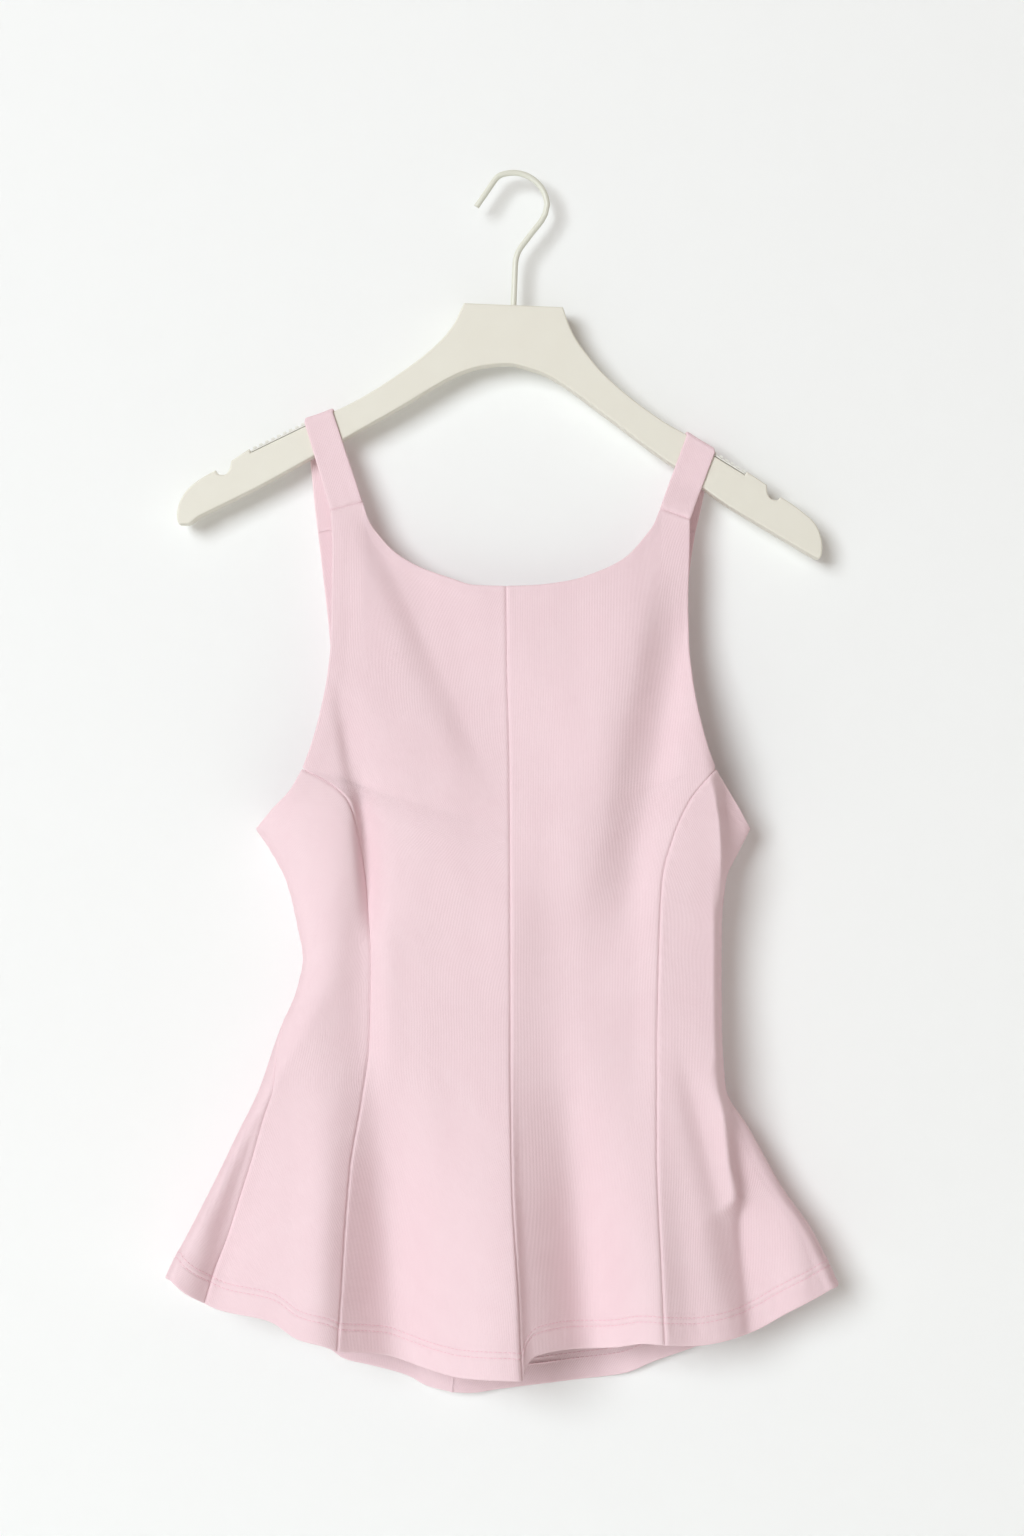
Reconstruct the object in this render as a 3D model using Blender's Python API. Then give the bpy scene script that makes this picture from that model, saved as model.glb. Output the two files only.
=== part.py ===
"""Sleeveless peplum top of smooth stretch knit, hanging from a flat hanger.

The body is six sewn panels round the garment (two centre fronts, two side
panels, two backs) and two straps that pass over the hanger. The origin is the
underside of the hook wire at the top of its bend, +X is the right of the front
view, -Y is the front and +Z is up. "Drop" is millimetres below the origin.
"""

import math

import bmesh
import bpy
import numpy as np
from mathutils import Vector

MM = 0.001

# Overall sizes, in millimetres
WALL = 1.6          # doubled, sewn knit of the straps and panels
GAP = 0.3           # clearance between neighbouring pieces
ROUND = 60.0        # how far the back curves in from the sides
EYE = 1500.0        # the outlines below are laid out as seen from this far off
EYE_DROP = 385.0    # and from this height

BAR_THICK = 13.0
BAR_EDGE = 1.2      # rounding of the hanger's edges
WIRE = 1.9          # radius of the hook wire
HOOK_BEND = 22.3    # radius of the hook's bend
STEM_X = 0.4
GRIP_DEPTH = 2.6    # recess of the grip strips in the arms
RIB_PITCH = 4.3
RIB_WIDTH = 2.2

# Body sections: one row for each height.
# left and right: where the outline is; edge: depth of the side line;
# front and back: how far each face stands out from the side line;
# turn: how far the front curves in from the left side line.
SECTIONS = (
    # drop, left,   right, edge, front, back, turn
    (140, -158, 146, 0, 8, 8, 60),
    (215, -160, 150, -1, 11, 10, 60),
    (266, -168, 156, -2, 16, 12, 60),
    (330, -178, 162, -4, 23, 13, 60),
    (385, -182, 164, -5, 29, 14, 60),
    (424, -167, 154, -6, 31, 14, 60),
    (439, -157.3, 147.4, -6, 31, 14, 54),
    (457, -147.6, 139, -6, 30, 14, 46),
    (487, -139.8, 135.9, -6, 27, 13, 34),
    (508, -136.2, 135.9, -6, 25, 12, 28),
    (530, -141, 135.9, -6, 25, 12, 24),
    (550, -149.5, 135.9, -7, 26, 13, 20),
    (593, -164.5, 138, -8, 28, 15, 10),
    (620, -177.5, 153.4, -8, 29, 16, 7),
    (660, -197, 177, -8, 30, 17, 6),
    (683, -208.7, 193, -8, 31, 17, 6),
    (718, -226.5, 210, -8, 32, 18, 6),
    (800, -262, 250, -8, 33, 18, 6),
)

# The right side folds over on itself above and below the waist: one row for
# each height, with the line of the fold, the depth and width of the flap that
# lies behind it, and how far in the cloth rolls over to the line.
RIGHT_FOLD = (
    # drop, line, flap depth, flap width, roll
    (140, 148, 3, 12, 30),
    (330, 146, 3, 12, 30),
    (385, 134, 11, 13, 9),
    (404, 135, 7, 14, 4),
    (424, 136.5, 6, 14, 3),
    (445, 137.5, 6, 13, 3),
    (466, 138, 10, 9, 3.5),
    (487, 138.5, 27, 6, 6),
    (570, 138, 26, 6, 8),
    (588, 136.5, 10, 10, 4.5),
    (612, 139.8, 5, 10, 3),
    (644, 143.3, 6, 9, 3),
    (664, 147.3, 10, 8, 5),
    (682, 146, 14, 7, 26),
    (740, 151, 17, 6, 34),
    (800, 155, 18, 6, 34),
)

# Folds of the front, each from a top point to a bottom point. Height is toward
# the viewer, full at the bottom point; left and right are its half widths. One
# that fades dies out at both points, and is full between them.
FOLDS = (
    # x0, drop0, x1, drop1, left, right, height, fades
    (-109, 190, -18, 380, 16, 45, -5.0, True),
    (-116, 320, -93, 455, 6, 26, -4.0, True),
    (-101, 380, -93, 480, 5, 14, -7.0, True),
    (-94, 405, -96, 577, 24, 11, -7.0, True),
    (-116, 545, -126, 740, 24, 20, 12.0, False),
    (-92, 530, -75, 730, 24, 30, -19.0, False),
    (-6, 530, 2, 770, 62, 6, 8.5, False),
    (-6, 555, 2, 750, 50, 26, 12.0, False),
    (29, 535, 52, 750, 24, 26, -20.0, False),
    (88, 570, 93, 750, 36, 16, 10.0, False),
    (107, 560, 142, 760, 11, 24, -5.0, True),
    (-135, 500, -198, 733, 11, 27, -11.0, False),
    (127, 215, 69, 480, 26, 16, -6.5, True),
    (98, 215, 44, 480, 46, 22, 5.5, True),
    (95, 405, 93, 600, 14, 34, 2.0, True),
    (-2, 400, -4, 640, 50, 26, 2.5, True),
    (24, 400, 22, 640, 22, 40, -2.5, True),
    (176, 640, 190, 740, 18, 12, 3.5, False),
)

# Waves of the back, in the same columns, height toward the wall.
BACK_FOLDS = (
    (-90, 560, -120, 770, 26, 26, 4.0, False),
    (-30, 560, -42, 785, 24, 24, -4.0, False),
    (30, 560, 42, 780, 24, 26, 4.5, False),
    (90, 560, 108, 770, 26, 24, -3.5, False),
    (130, 600, 160, 750, 18, 18, 3.0, False),
)

# Seams and open edges of the front, as (x, drop) down or across.
STRAP_SEAM_LEFT = ((-118.7, 217.3), (-97.8, 211.9))
STRAP_SEAM_RIGHT = ((95.6, 216.0), (115.2, 223.2))
NECK_LEFT = ((-97.8, 211.9), (-93.2, 224.9), (-86.2, 234.6), (-78, 243.4),
             (-69, 249.8), (-57.2, 255.6), (-41, 261.2), (-25.4, 265.8),
             (-4.6, 266.5))
NECK_RIGHT = ((-4.6, 266.5), (13.6, 265.9), (37, 262.9), (52.6, 258.1),
              (72.8, 248), (86.7, 233), (91.4, 226.6), (95.6, 216.0))
CENTRE_FRONT = ((-4.6, 266.5), (-4, 328), (-2.6, 380), (-2, 470), (-1.3, 601),
                (0, 666), (3.9, 731), (6.5, 784.2))
ARMHOLE_LEFT = ((-118.7, 217.3), (-117.6, 240), (-118, 270), (-118.6, 302),
                (-120.9, 325), (-125.5, 348), (-130.7, 367.3), (-137.2, 385.5))
ARMHOLE_RIGHT = ((115.2, 223.2), (115, 240), (114, 276), (114.2, 302),
                 (117, 328), (121.6, 351), (126.8, 370.5), (132, 385.5))
PRINCESS_LEFT = ((-137.2, 385.5), (-119, 395), (-106, 408), (-98.2, 438.8),
                 (-94.3, 471), (-93, 510), (-93.6, 562), (-98.2, 601),
                 (-106, 647), (-111.8, 731), (-114.4, 764.8))
PRINCESS_RIGHT = ((132, 385.5), (115, 406), (103.4, 432), (96.9, 458),
                  (94.9, 504), (93.6, 569), (93.6, 634), (96.2, 699),
                  (98.8, 760.6))
SIDE_RIM_LEFT = ((-167, 424), (-156.7, 411.5), (-145.6, 399.8),
                 (-137.2, 385.5))
SIDE_RIM_RIGHT = ((132, 385.5), (137, 394), (146, 409), (154, 424))
# The side seams, as distances round the body from the side lines at a height:
# the left one comes round to the front below the waist.
SIDE_SEAM_LEFT = ((424, 0), (536, 0), (549, 3), (563, 5), (581, 7.4),
                  (609, 10.8), (637, 16.4), (665, 21.5), (693, 26.8),
                  (714, 29.8), (733.2, 33))
SIDE_SEAM_RIGHT = ((424, 0), (454, 3), (718.9, 3))
HEM_SIDE_LEFT = ((-201.5, 733.2), (-193.1, 737.1), (-159.3, 744.9),
                 (-139.8, 757), (-121.6, 761.8), (-114.4, 764.8))
HEM_FRONT_LEFT = ((-114.4, 764.8), (-83.9, 766.4), (-68.3, 771.3),
                  (-51.4, 777.4), (-31.9, 782), (-14.3, 783.3), (6.5, 784.2))
HEM_FRONT_RIGHT = ((6.5, 784.2), (9, 775), (13, 769), (18.2, 766.6),
                   (41, 762.6), (66.3, 761.8), (84.5, 759.5), (98.8, 760.6))
HEM_SIDE_RIGHT = ((98.8, 760.6), (117.7, 760.9), (132, 758.9), (155.4, 750.8),
                  (173.6, 740.4), (196.3, 728), (210, 718.9))

# Seams and open edges of the back.
BACK_ARM_LEFT = ((-126.8, 232), (-123.2, 262), (-119.5, 296), (-117.5, 325),
                 (-119, 358), (-129, 394), (-146, 416), (-167, 424))
BACK_ARM_RIGHT = ((118.5, 232), (115, 256), (112, 292), (112, 325),
                  (115, 358), (124, 393), (137, 414), (154, 424))
BACK_STRAP_LEFT = ((-126.8, 232), (-107.2, 228))
BACK_STRAP_RIGHT = ((99.5, 228), (118.5, 232))
BACK_NECK_LEFT = ((-107.2, 228), (-99, 246), (-85, 264), (-64, 278),
                  (-36, 286), (-3, 288))
BACK_NECK_RIGHT = ((-3, 288), (32, 286), (60, 278), (80, 264), (92, 246),
                   (99.5, 228))
CENTRE_BACK = ((-3, 288), (-4, 400), (-8, 520), (-20, 640), (-39.7, 790.5))
HEM_BACK_LEFT = ((-39.7, 790.5), (-56.6, 786), (-67, 780), (-93, 772.6),
                 (-108.6, 769), (-121, 760.5), (-139, 752), (-159, 741),
                 (-180, 733), (-205, 726), (-225.8, 716.5))
HEM_BACK_RIGHT = ((-39.7, 790.5), (-28, 791), (-10.4, 788.5), (15.6, 785.2),
                  (41, 782), (72.2, 778), (91, 770.3), (110.5, 763.4),
                  (132, 755.5), (155, 747), (174, 737), (196, 725.5),
                  (210, 718.9))

# The hanger's outline, clockwise as seen from the front, as (x, drop). The
# two grip strips lie between the runs.
BAR_TOP = ((-133.9, 159.2), (-112.5, 151.2), (-73.5, 128.1), (-47.5, 107.3),
           (-42.3, 101.4), (-37.7, 94.9), (-34.5, 87.8), (-31.9, 82.6))
BAR_TOP_RIGHT = ((32.5, 85.2), (33.6, 88.5), (37.1, 98.2), (42.3, 107.9),
                 (50.1, 118.3), (56.6, 126.1), (97.5, 159.3), (115.7, 169.7))
ARM_RIGHT = ((152.1, 192.1), (165.1, 200.9))
NOTCH_RIGHT = ((165.1, 200.9), (165.6, 206), (168.2, 210), (171.6, 210.8),
               (174.2, 208.7))
TIP_RIGHT = ((174.2, 208.7), (181.4, 213.2), (188.5, 218.6), (195.7, 224.9),
             (199.3, 231.4), (201.2, 239.9), (200.9, 246), (199, 249),
             (196.3, 248))
UNDER = ((196.3, 248), (161.2, 227.2), (137.2, 212.6), (106, 189.2),
         (95.6, 182.2), (60, 155.6), (28, 132.6), (18.9, 127.8),
         (10.4, 125), (-3.3, 122), (-20.8, 123.8), (-34.5, 128.1),
         (-43.6, 132.6), (-73.5, 150.4), (-99.5, 165.1), (-129.4, 182),
         (-163.2, 200.9), (-204.8, 221.7))
TIP_LEFT = ((-204.8, 221.7), (-212, 226.4), (-217.1, 226.4), (-218.7, 221),
            (-217.8, 214.5), (-214.5, 207.4), (-208.7, 200.9), (-200.2, 195),
            (-193.4, 191.4))
NOTCH_LEFT = ((-193.4, 191.4), (-191.8, 194), (-188, 194.3), (-184.6, 191),
              (-183.3, 185.3))
ARM_LEFT = ((-183.3, 185.3), (-171.6, 177.5))
GRIP_LEFT = ((-171.6, 177.5), (-133.9, 159.2))
GRIP_RIGHT = ((115.7, 169.7), (152.1, 192.1))

# Rows down each panel: above the underarm, and below it; columns across.
ROWS_YOKE, ROWS_BACK_YOKE, ROWS_BODY = 10, 10, 25
COLUMNS_FRONT, COLUMNS_SIDE, COLUMNS_BACK = 18, 12, 13


def spline(at, xs, ys):
    """Smooth curve through (xs, ys) that never overshoots, read at `at`."""
    xs, ys = np.asarray(xs, float), np.asarray(ys, float)
    at = np.asarray(at, float)
    step = np.diff(xs)
    slope = np.diff(ys) / step
    tangent = np.empty_like(ys)
    tangent[0], tangent[-1] = slope[0], slope[-1]
    for i in range(1, len(xs) - 1):
        if slope[i - 1] * slope[i] <= 0:
            tangent[i] = 0
        else:
            a = 2 * step[i] + step[i - 1]
            b = step[i] + 2 * step[i - 1]
            tangent[i] = (a + b) / (a / slope[i - 1] + b / slope[i])
    k = np.clip(np.searchsorted(xs, at) - 1, 0, len(step) - 1)
    t = np.clip((at - xs[k]) / step[k], 0, 1)
    h = step[k]
    return ((2 * t**3 - 3 * t**2 + 1) * ys[k] + (t**3 - 2 * t**2 + t) * h * tangent[k]
            + (3 * t**2 - 2 * t**3) * ys[k + 1] + (t**3 - t**2) * h * tangent[k + 1])


def path(points, count=80):
    """Points spaced evenly along a smooth curve through a table's points."""
    points = np.asarray(points, float)
    run = np.concatenate([[0], np.cumsum(np.linalg.norm(np.diff(points, axis=0), axis=1))])
    dense = np.linspace(0, run[-1], 12 * count)
    fine = np.stack([spline(dense, run, points[:, 0]), spline(dense, run, points[:, 1])], 1)
    return evenly(fine, np.linspace(0, 1, count))


def evenly(points, fractions, trim=0.0):
    """Points at fractions of a polyline's length, its ends trimmed back."""
    run = np.concatenate([[0], np.cumsum(np.linalg.norm(np.diff(points[:, -3:], axis=0), axis=1))])
    want = trim + (run[-1] - 2 * trim) * np.asarray(fractions)
    return np.stack([np.interp(want, run, points[:, i]) for i in range(points.shape[1])], 1)


def column(table, index, drop):
    """One named column of a table of heights."""
    rows = np.asarray(table, float)
    return spline(drop, rows[:, 0], rows[:, index])


def quarter(t):
    """Quarter circle: 0 at the side line, 1 from there inward."""
    return np.sqrt(np.maximum(1 - (1 - np.clip(t, 0, 1)) ** 2, 0))


def ease(t):
    t = np.clip(t, 0, 1)
    return t * t * (3 - 2 * t)


def folds(table, x, drop):
    """Sum of a table's folds at a point."""
    total = np.zeros_like(x)
    for x0, drop0, x1, drop1, left, right, height, fades in table:
        t = (drop - drop0) / (drop1 - drop0)
        centre = x0 + (x1 - x0) * np.clip(t, 0, 1.2)
        grow = ease(2.4 * t) * ease(2.4 * (1.25 - t)) if fades else ease(t)
        wide = np.where(x < centre, left, right) * (0.6 + 0.4 * np.clip(t, 0, 1))
        total += height * grow * np.exp(-((x - centre) / wide) ** 2)
    return total


def ring(r, drop):
    """Outer surface at a distance r round the body from its left side line.

    r runs over the front, from 0 at the left side line to the body's width at
    the right one; below 0 and past the width it runs over the back.
    """
    left, right = column(SECTIONS, 1, drop), column(SECTIONS, 2, drop)
    width = right - left
    edge = column(SECTIONS, 3, drop)
    front, back = column(SECTIONS, 4, drop), column(SECTIONS, 5, drop)
    line, flap = column(RIGHT_FOLD, 1, drop), column(RIGHT_FOLD, 2, drop)
    flap_wide, roll = column(RIGHT_FOLD, 3, drop), column(RIGHT_FOLD, 4, drop)
    on_back = (r < 0) | (r > width)
    along = np.where(r < 0, -r, np.where(r > width, 2 * width - r, r))
    from_right = width - along
    left_round = np.where(on_back, ROUND, column(SECTIONS, 6, drop))
    right_round = np.where(on_back, ROUND, flap_wide)
    x = left + along
    x = np.where(along < left_round,
                 left + left_round * (1 - np.cos(np.pi * along / 2 / left_round)), x)
    x = np.where(from_right < right_round,
                 right - right_round * (1 - np.cos(np.pi * from_right / 2 / right_round)), x)
    left_rise = quarter((x - left) / left_round)
    t = (line - x) / roll
    tuck = quarter(0.5 * (t + np.sqrt(t * t + (1.7 / roll) ** 2)))
    flap = np.minimum(flap, front)
    depth = left_rise * (flap * quarter((right - x) / flap_wide) + (front - flap) * tuck)
    inside = quarter((x - left) / np.minimum(left_round, 24)) * quarter((right - x) / 24)
    y_front = edge - depth - inside * folds(FOLDS, x, drop)
    y_back = (edge + back * left_rise * quarter((right - x) / ROUND)
              + inside * folds(BACK_FOLDS, x, drop))
    y = np.where(on_back, y_back, y_front)
    return seen(x, drop, y)


def seen(x, drop, y):
    """Where a point seen at (x, drop) really is, when it lies at depth y."""
    near = 1 + y / EYE
    return np.stack([x * near, y + 0 * x, -(EYE_DROP + (drop - EYE_DROP) * near)], -1)


def outward(r, drop, back_to=0.4):
    """Unit normal of the outer surface, away from the body's hollow."""
    across = ring(r + back_to, drop) - ring(r - back_to, drop)
    down = ring(r, drop + back_to) - ring(r, drop - back_to)
    normal = np.cross(down, across)
    return normal / np.linalg.norm(normal, axis=-1, keepdims=True)


def round_at(points, back=""):
    """A table of (x, drop) turned into (distance round the body, drop)."""
    points = np.asarray(points, float)
    x, drop = points[:, 0], points[:, 1]
    left, right = column(SECTIONS, 1, drop), column(SECTIONS, 2, drop)
    flap_wide = ROUND if back else column(RIGHT_FOLD, 3, drop)
    from_left, from_right = np.maximum(x - left, 0), np.maximum(right - x, 0)
    left_round = ROUND if back else column(SECTIONS, 6, drop)
    turned = np.arccos(np.clip(1 - from_left / left_round, -1, 1)) * 2 * left_round / np.pi
    along = np.where(from_left < left_round, turned, from_left)
    turned = np.arccos(np.clip(1 - from_right / flap_wide, -1, 1)) * 2 * flap_wide / np.pi
    along = np.where(from_right < flap_wide, right - left - turned, along)
    if back == "left":
        along = -along
    elif back == "right":
        along = 2 * (right - left) - along
    return np.stack([along, drop], 1)


def coons(top, bottom, left, right, columns, corner=None):
    """Grid of a four-sided panel as (distance round, drop), row by row.

    Args:
        top, bottom: dense curves across, left end first.
        left, right: stations down the two sides, one for each row.
        columns: cells across.
        corner: (column, fraction of the top) that falls on a corner of it.
    """
    rows = len(left)
    dense = 40 * columns
    u = np.linspace(0, 1, dense)[:, None]
    top = evenly(top, u[:, 0])
    bottom = evenly(bottom, u[:, 0])
    grid, normals = [], []
    for i in range(rows):
        v = i / (rows - 1)
        row = ((1 - u) * left[i] + u * right[i]
               + (1 - v) ** 6 * (top - (1 - u) * top[0] - u * top[-1])
               + v**4 * (bottom - (1 - u) * bottom[0] - u * bottom[-1]))
        solid = np.concatenate([row, ring(row[:, 0], row[:, 1])], 1)
        fractions = np.linspace(0, 1, columns + 1)
        if corner:
            split = np.interp(np.arange(columns + 1), [0, corner[0], columns], [0, corner[1], 1])
            fractions = fractions + (split - fractions) * (1 - v) ** 2
        placed = evenly(solid, fractions, GAP / 2)
        grid.append(ring(placed[:, 0], placed[:, 1]))
        normals.append(outward(placed[:, 0], placed[:, 1]))
    return np.array(grid), np.array(normals)


def material(name, colour, roughness):
    made = bpy.data.materials.new(name)
    made.use_nodes = True
    shader = made.node_tree.nodes["Principled BSDF"]
    shader.inputs["Base Color"].default_value = (*colour, 1)
    shader.inputs["Roughness"].default_value = roughness
    return made


def place(name, mesh, made, collection):
    """Put a mesh into the scene as one named piece."""
    piece = bpy.data.objects.new(name, mesh)
    piece.data.materials.clear()
    piece.data.materials.append(made)
    collection.objects.link(piece)
    return piece


def wall(name, outer, normals, made, collection):
    """Closed cloth wall: a grid of outer points and its inner side."""
    inner = outer - WALL * normals
    rows, columns = outer.shape[:2]
    mesh = bmesh.new()
    faces = []
    sides = [[[mesh.verts.new(point * MM) for point in row] for row in side]
             for side in (outer, inner)]
    for i in range(rows - 1):
        for j in range(columns - 1):
            for side, turn in zip(sides, (1, -1)):
                ring_of = (side[i][j], side[i + 1][j], side[i + 1][j + 1], side[i][j + 1])
                faces.append(mesh.faces.new(ring_of[::turn]))
    border = ([(0, j) for j in range(columns)] + [(i, columns - 1) for i in range(1, rows)]
              + [(rows - 1, j) for j in range(columns - 2, -1, -1)]
              + [(i, 0) for i in range(rows - 2, 0, -1)])
    for (i, j), (k, l) in zip(border, border[1:] + border[:1]):
        faces.append(mesh.faces.new((sides[0][i][j], sides[0][k][l], sides[1][k][l], sides[1][i][j])))
    bmesh.ops.triangulate(mesh, faces=faces)
    bmesh.ops.recalc_face_normals(mesh, faces=mesh.faces)
    data = bpy.data.meshes.new(name)
    mesh.to_mesh(data)
    mesh.free()
    data.shade_smooth()
    data.set_sharp_from_angle(angle=math.radians(50))
    return place(name, data, made, collection)


def body_panels(knit, collection):
    """The six panels round the body, from shared seam stations."""
    front_rows = ROWS_YOKE + ROWS_BODY + 1
    back_rows = ROWS_BACK_YOKE + ROWS_BODY + 1
    centre_front = round_at(path(CENTRE_FRONT, front_rows))
    seams = {
        "princess_left": round_at(path(PRINCESS_LEFT, ROWS_BODY + 1)),
        "princess_right": round_at(path(PRINCESS_RIGHT, ROWS_BODY + 1)),
    }
    for side, table in (("left", SIDE_SEAM_LEFT), ("right", SIDE_SEAM_RIGHT)):
        drops = np.linspace(table[0][0], table[-1][0], ROWS_BODY + 1)
        r = column(table, 1, drops)
        if side == "right":
            r = r + column(SECTIONS, 2, drops) - column(SECTIONS, 1, drops)
        seams["side_" + side] = np.stack([r, drops], 1)

    def joined(first, second):
        return np.concatenate([first, second[1:]])

    def rounded(*tables, back=""):
        return np.concatenate([round_at(path(table, 60), back) for table in tables])

    left_edge = joined(round_at(path(ARMHOLE_LEFT, ROWS_YOKE + 1)), seams["princess_left"])
    right_edge = joined(round_at(path(ARMHOLE_RIGHT, ROWS_YOKE + 1)), seams["princess_right"])
    panels = {
        "front_left": (rounded(STRAP_SEAM_LEFT, NECK_LEFT), rounded(HEM_FRONT_LEFT),
                       left_edge, centre_front, COLUMNS_FRONT, (3, 0.158)),
        "front_right": (rounded(NECK_RIGHT, STRAP_SEAM_RIGHT), rounded(HEM_FRONT_RIGHT),
                        centre_front, right_edge, COLUMNS_FRONT, (15, 0.852)),
        "side_left": (rounded(SIDE_RIM_LEFT), rounded(HEM_SIDE_LEFT),
                      seams["side_left"], seams["princess_left"], COLUMNS_SIDE, None),
        "side_right": (rounded(SIDE_RIM_RIGHT), rounded(HEM_SIDE_RIGHT),
                       seams["princess_right"], seams["side_right"], COLUMNS_SIDE + 2, None),
    }
    back_left = joined(round_at(path(BACK_ARM_LEFT, ROWS_BACK_YOKE + 1), "left"), seams["side_left"])
    back_right = joined(round_at(path(BACK_ARM_RIGHT, ROWS_BACK_YOKE + 1), "right"), seams["side_right"])
    middle = path(CENTRE_BACK, back_rows)
    hem_left = round_at(path(HEM_BACK_LEFT, 60), "left")
    hem_front = np.array([[-225.8, 716.5], [-214, 727], [-201.5, 733.2]])
    hem_left = np.concatenate([hem_left, round_at(path(hem_front, 20))[1:]])
    hem_right = round_at(path(HEM_BACK_RIGHT, 60), "right")
    panels["back_left"] = (rounded(BACK_NECK_LEFT[::-1], BACK_STRAP_LEFT[::-1], back="left"), hem_left,
                           round_at(middle, "left"), back_left, COLUMNS_BACK, (11, 0.86))
    panels["back_right"] = (rounded(BACK_STRAP_RIGHT[::-1], BACK_NECK_RIGHT[::-1], back="right"),
                            hem_right[::-1], back_right, round_at(middle, "right"), COLUMNS_BACK,
                            (2, 0.14))
    for name, (top, bottom, left, right, columns, corner) in panels.items():
        grid, normals = coons(top, bottom, left, right, columns, corner)
        wall(name, grid, normals, knit, collection)


def arm_top(x):
    """Drop of the hanger's top edge at x, the grip strips included."""
    run = np.concatenate([np.array(GRIP_LEFT), path(BAR_TOP, 60)[1:],
                          path(BAR_TOP_RIGHT, 60), np.array(GRIP_RIGHT)[1:]])
    return np.interp(x, run[:, 0], run[:, 1])


def strap(name, top_ends, front_seam, back_seam, back, knit, collection):
    """A strap from the front's corner over the hanger to the back's corner.

    Args:
        top_ends: the x of the strap's two edges where it crosses the arm.
        front_seam, back_seam: the ends of the seams below it, in the same
            order across.
        back: "left" or "right" half of the back.
    """
    across = np.linspace(0, 1, 4)
    clear = BAR_THICK / 2 + GAP + WALL
    turn = 1.3 + WALL
    steps = []
    for t in np.linspace(0, 1, 10):
        steps.append(("front", t))
    for k in range(1, 4):
        steps.append(("turn", -math.pi / 2 + k * math.pi / 6))
    for k in range(0, 3):
        steps.append(("over", k * math.pi / 6))
    for t in np.linspace(1, 0, 10):
        steps.append(("back", t))
    grid = []
    for kind, t in steps:
        row = []
        for u in across:
            end = np.array(front_seam[0]) + (np.array(front_seam[1]) - front_seam[0]) * u
            far = np.array(back_seam[0]) + (np.array(back_seam[1]) - back_seam[0]) * u
            x = top_ends[0] + (top_ends[1] - top_ends[0]) * u
            top = np.array([x, arm_top(x) - 0.1])
            crown = seen(*(np.array([[v] for v in (*top, -BAR_THICK / 2)])))[0]
            crown[2] += GAP + WALL
            if kind in ("front", "back"):
                low = end if kind == "front" else far
                side = "" if kind == "front" else back
                leg = low + (top + (0, turn) - low) * t
                r = round_at([leg], side)[0]
                point = ring(np.array([r[0]]), np.array([r[1]]))[0]
                at_bar = -clear if kind == "front" else clear
                hug = ease((t - 0.05) / 0.45)
                corner = np.array([crown[0], at_bar, crown[2] - turn])
                foot = ring(*[np.array([v]) for v in round_at([low], side)[0]])[0]
                straight = foot + (corner - foot) * t
                point = np.array([straight[0] + (point[0] - straight[0]) * (1 - hug),
                                  point[1] + (at_bar - point[1]) * hug,
                                  straight[2]])
            else:
                sign = -1 if kind == "turn" else 1
                angle = t
                y = sign * (clear - turn) + turn * math.sin(angle)
                point = np.array([crown[0], y, crown[2] - turn + turn * math.cos(angle)])
                if kind == "over":
                    point[1] = (clear - turn) + turn * math.sin(angle)
            row.append(point)
        grid.append(row)
    grid = np.array(grid)
    down = np.gradient(grid, axis=0)
    side = np.gradient(grid, axis=1)
    normals = np.cross(down, side)
    normals /= np.linalg.norm(normals, axis=-1, keepdims=True)
    if normals[0, 0, 1] > 0:
        normals = -normals
    # the two ends stand half the gap off the panels' seams
    for end, nearby in ((0, 1), (-1, -2)):
        along = grid[nearby] - grid[end]
        along /= np.linalg.norm(along, axis=-1, keepdims=True)
        grid[end] += along * GAP
    wall(name, grid, normals, knit, collection)


def flat_piece(name, outline, thick, edge, made, collection):
    """A flat piece cut to an outline in the X-Z plane, its edges rounded."""
    curve = bpy.data.curves.new(name, "CURVE")
    curve.dimensions = "2D"
    curve.fill_mode = "BOTH"
    curve.extrude = (thick / 2 - edge) * MM
    curve.bevel_depth = edge * MM
    curve.bevel_resolution = 1
    curve.offset = -edge * MM
    line = curve.splines.new("POLY")
    line.points.add(len(outline) - 1)
    for point, (x, drop) in zip(line.points, outline):
        point.co = (x * MM, -drop * MM, 0, 1)
    line.use_cyclic_u = True
    piece = bpy.data.objects.new(name, curve)
    piece.rotation_euler.x = math.pi / 2
    collection.objects.link(piece)
    return as_mesh(piece, made, collection)


def as_mesh(piece, made, collection):
    """The curve object's evaluated mesh, welded, under the same name."""
    bpy.context.view_layer.update()
    graph = bpy.context.evaluated_depsgraph_get()
    data = bpy.data.meshes.new_from_object(piece.evaluated_get(graph))
    matrix, name = piece.matrix_world.copy(), piece.name
    bpy.data.objects.remove(piece)
    data.transform(matrix)
    mesh = bmesh.new()
    mesh.from_mesh(data)
    bmesh.ops.remove_doubles(mesh, verts=mesh.verts, dist=1e-6)
    bmesh.ops.dissolve_degenerate(mesh, edges=mesh.edges, dist=1e-6)
    mesh.to_mesh(data)
    mesh.free()
    data.name = name
    data.shade_smooth()
    data.set_sharp_from_angle(angle=math.radians(35))
    return place(name, data, made, collection)


def recess(line, depth):
    """The two floor corners of a recess cut below a line of the top edge."""
    a, b = Vector(line[0]), Vector(line[1])
    way = (b - a).normalized()
    down = Vector((-way.y, way.x))
    return [tuple(a + down * depth), tuple(b + down * depth)]


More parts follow.
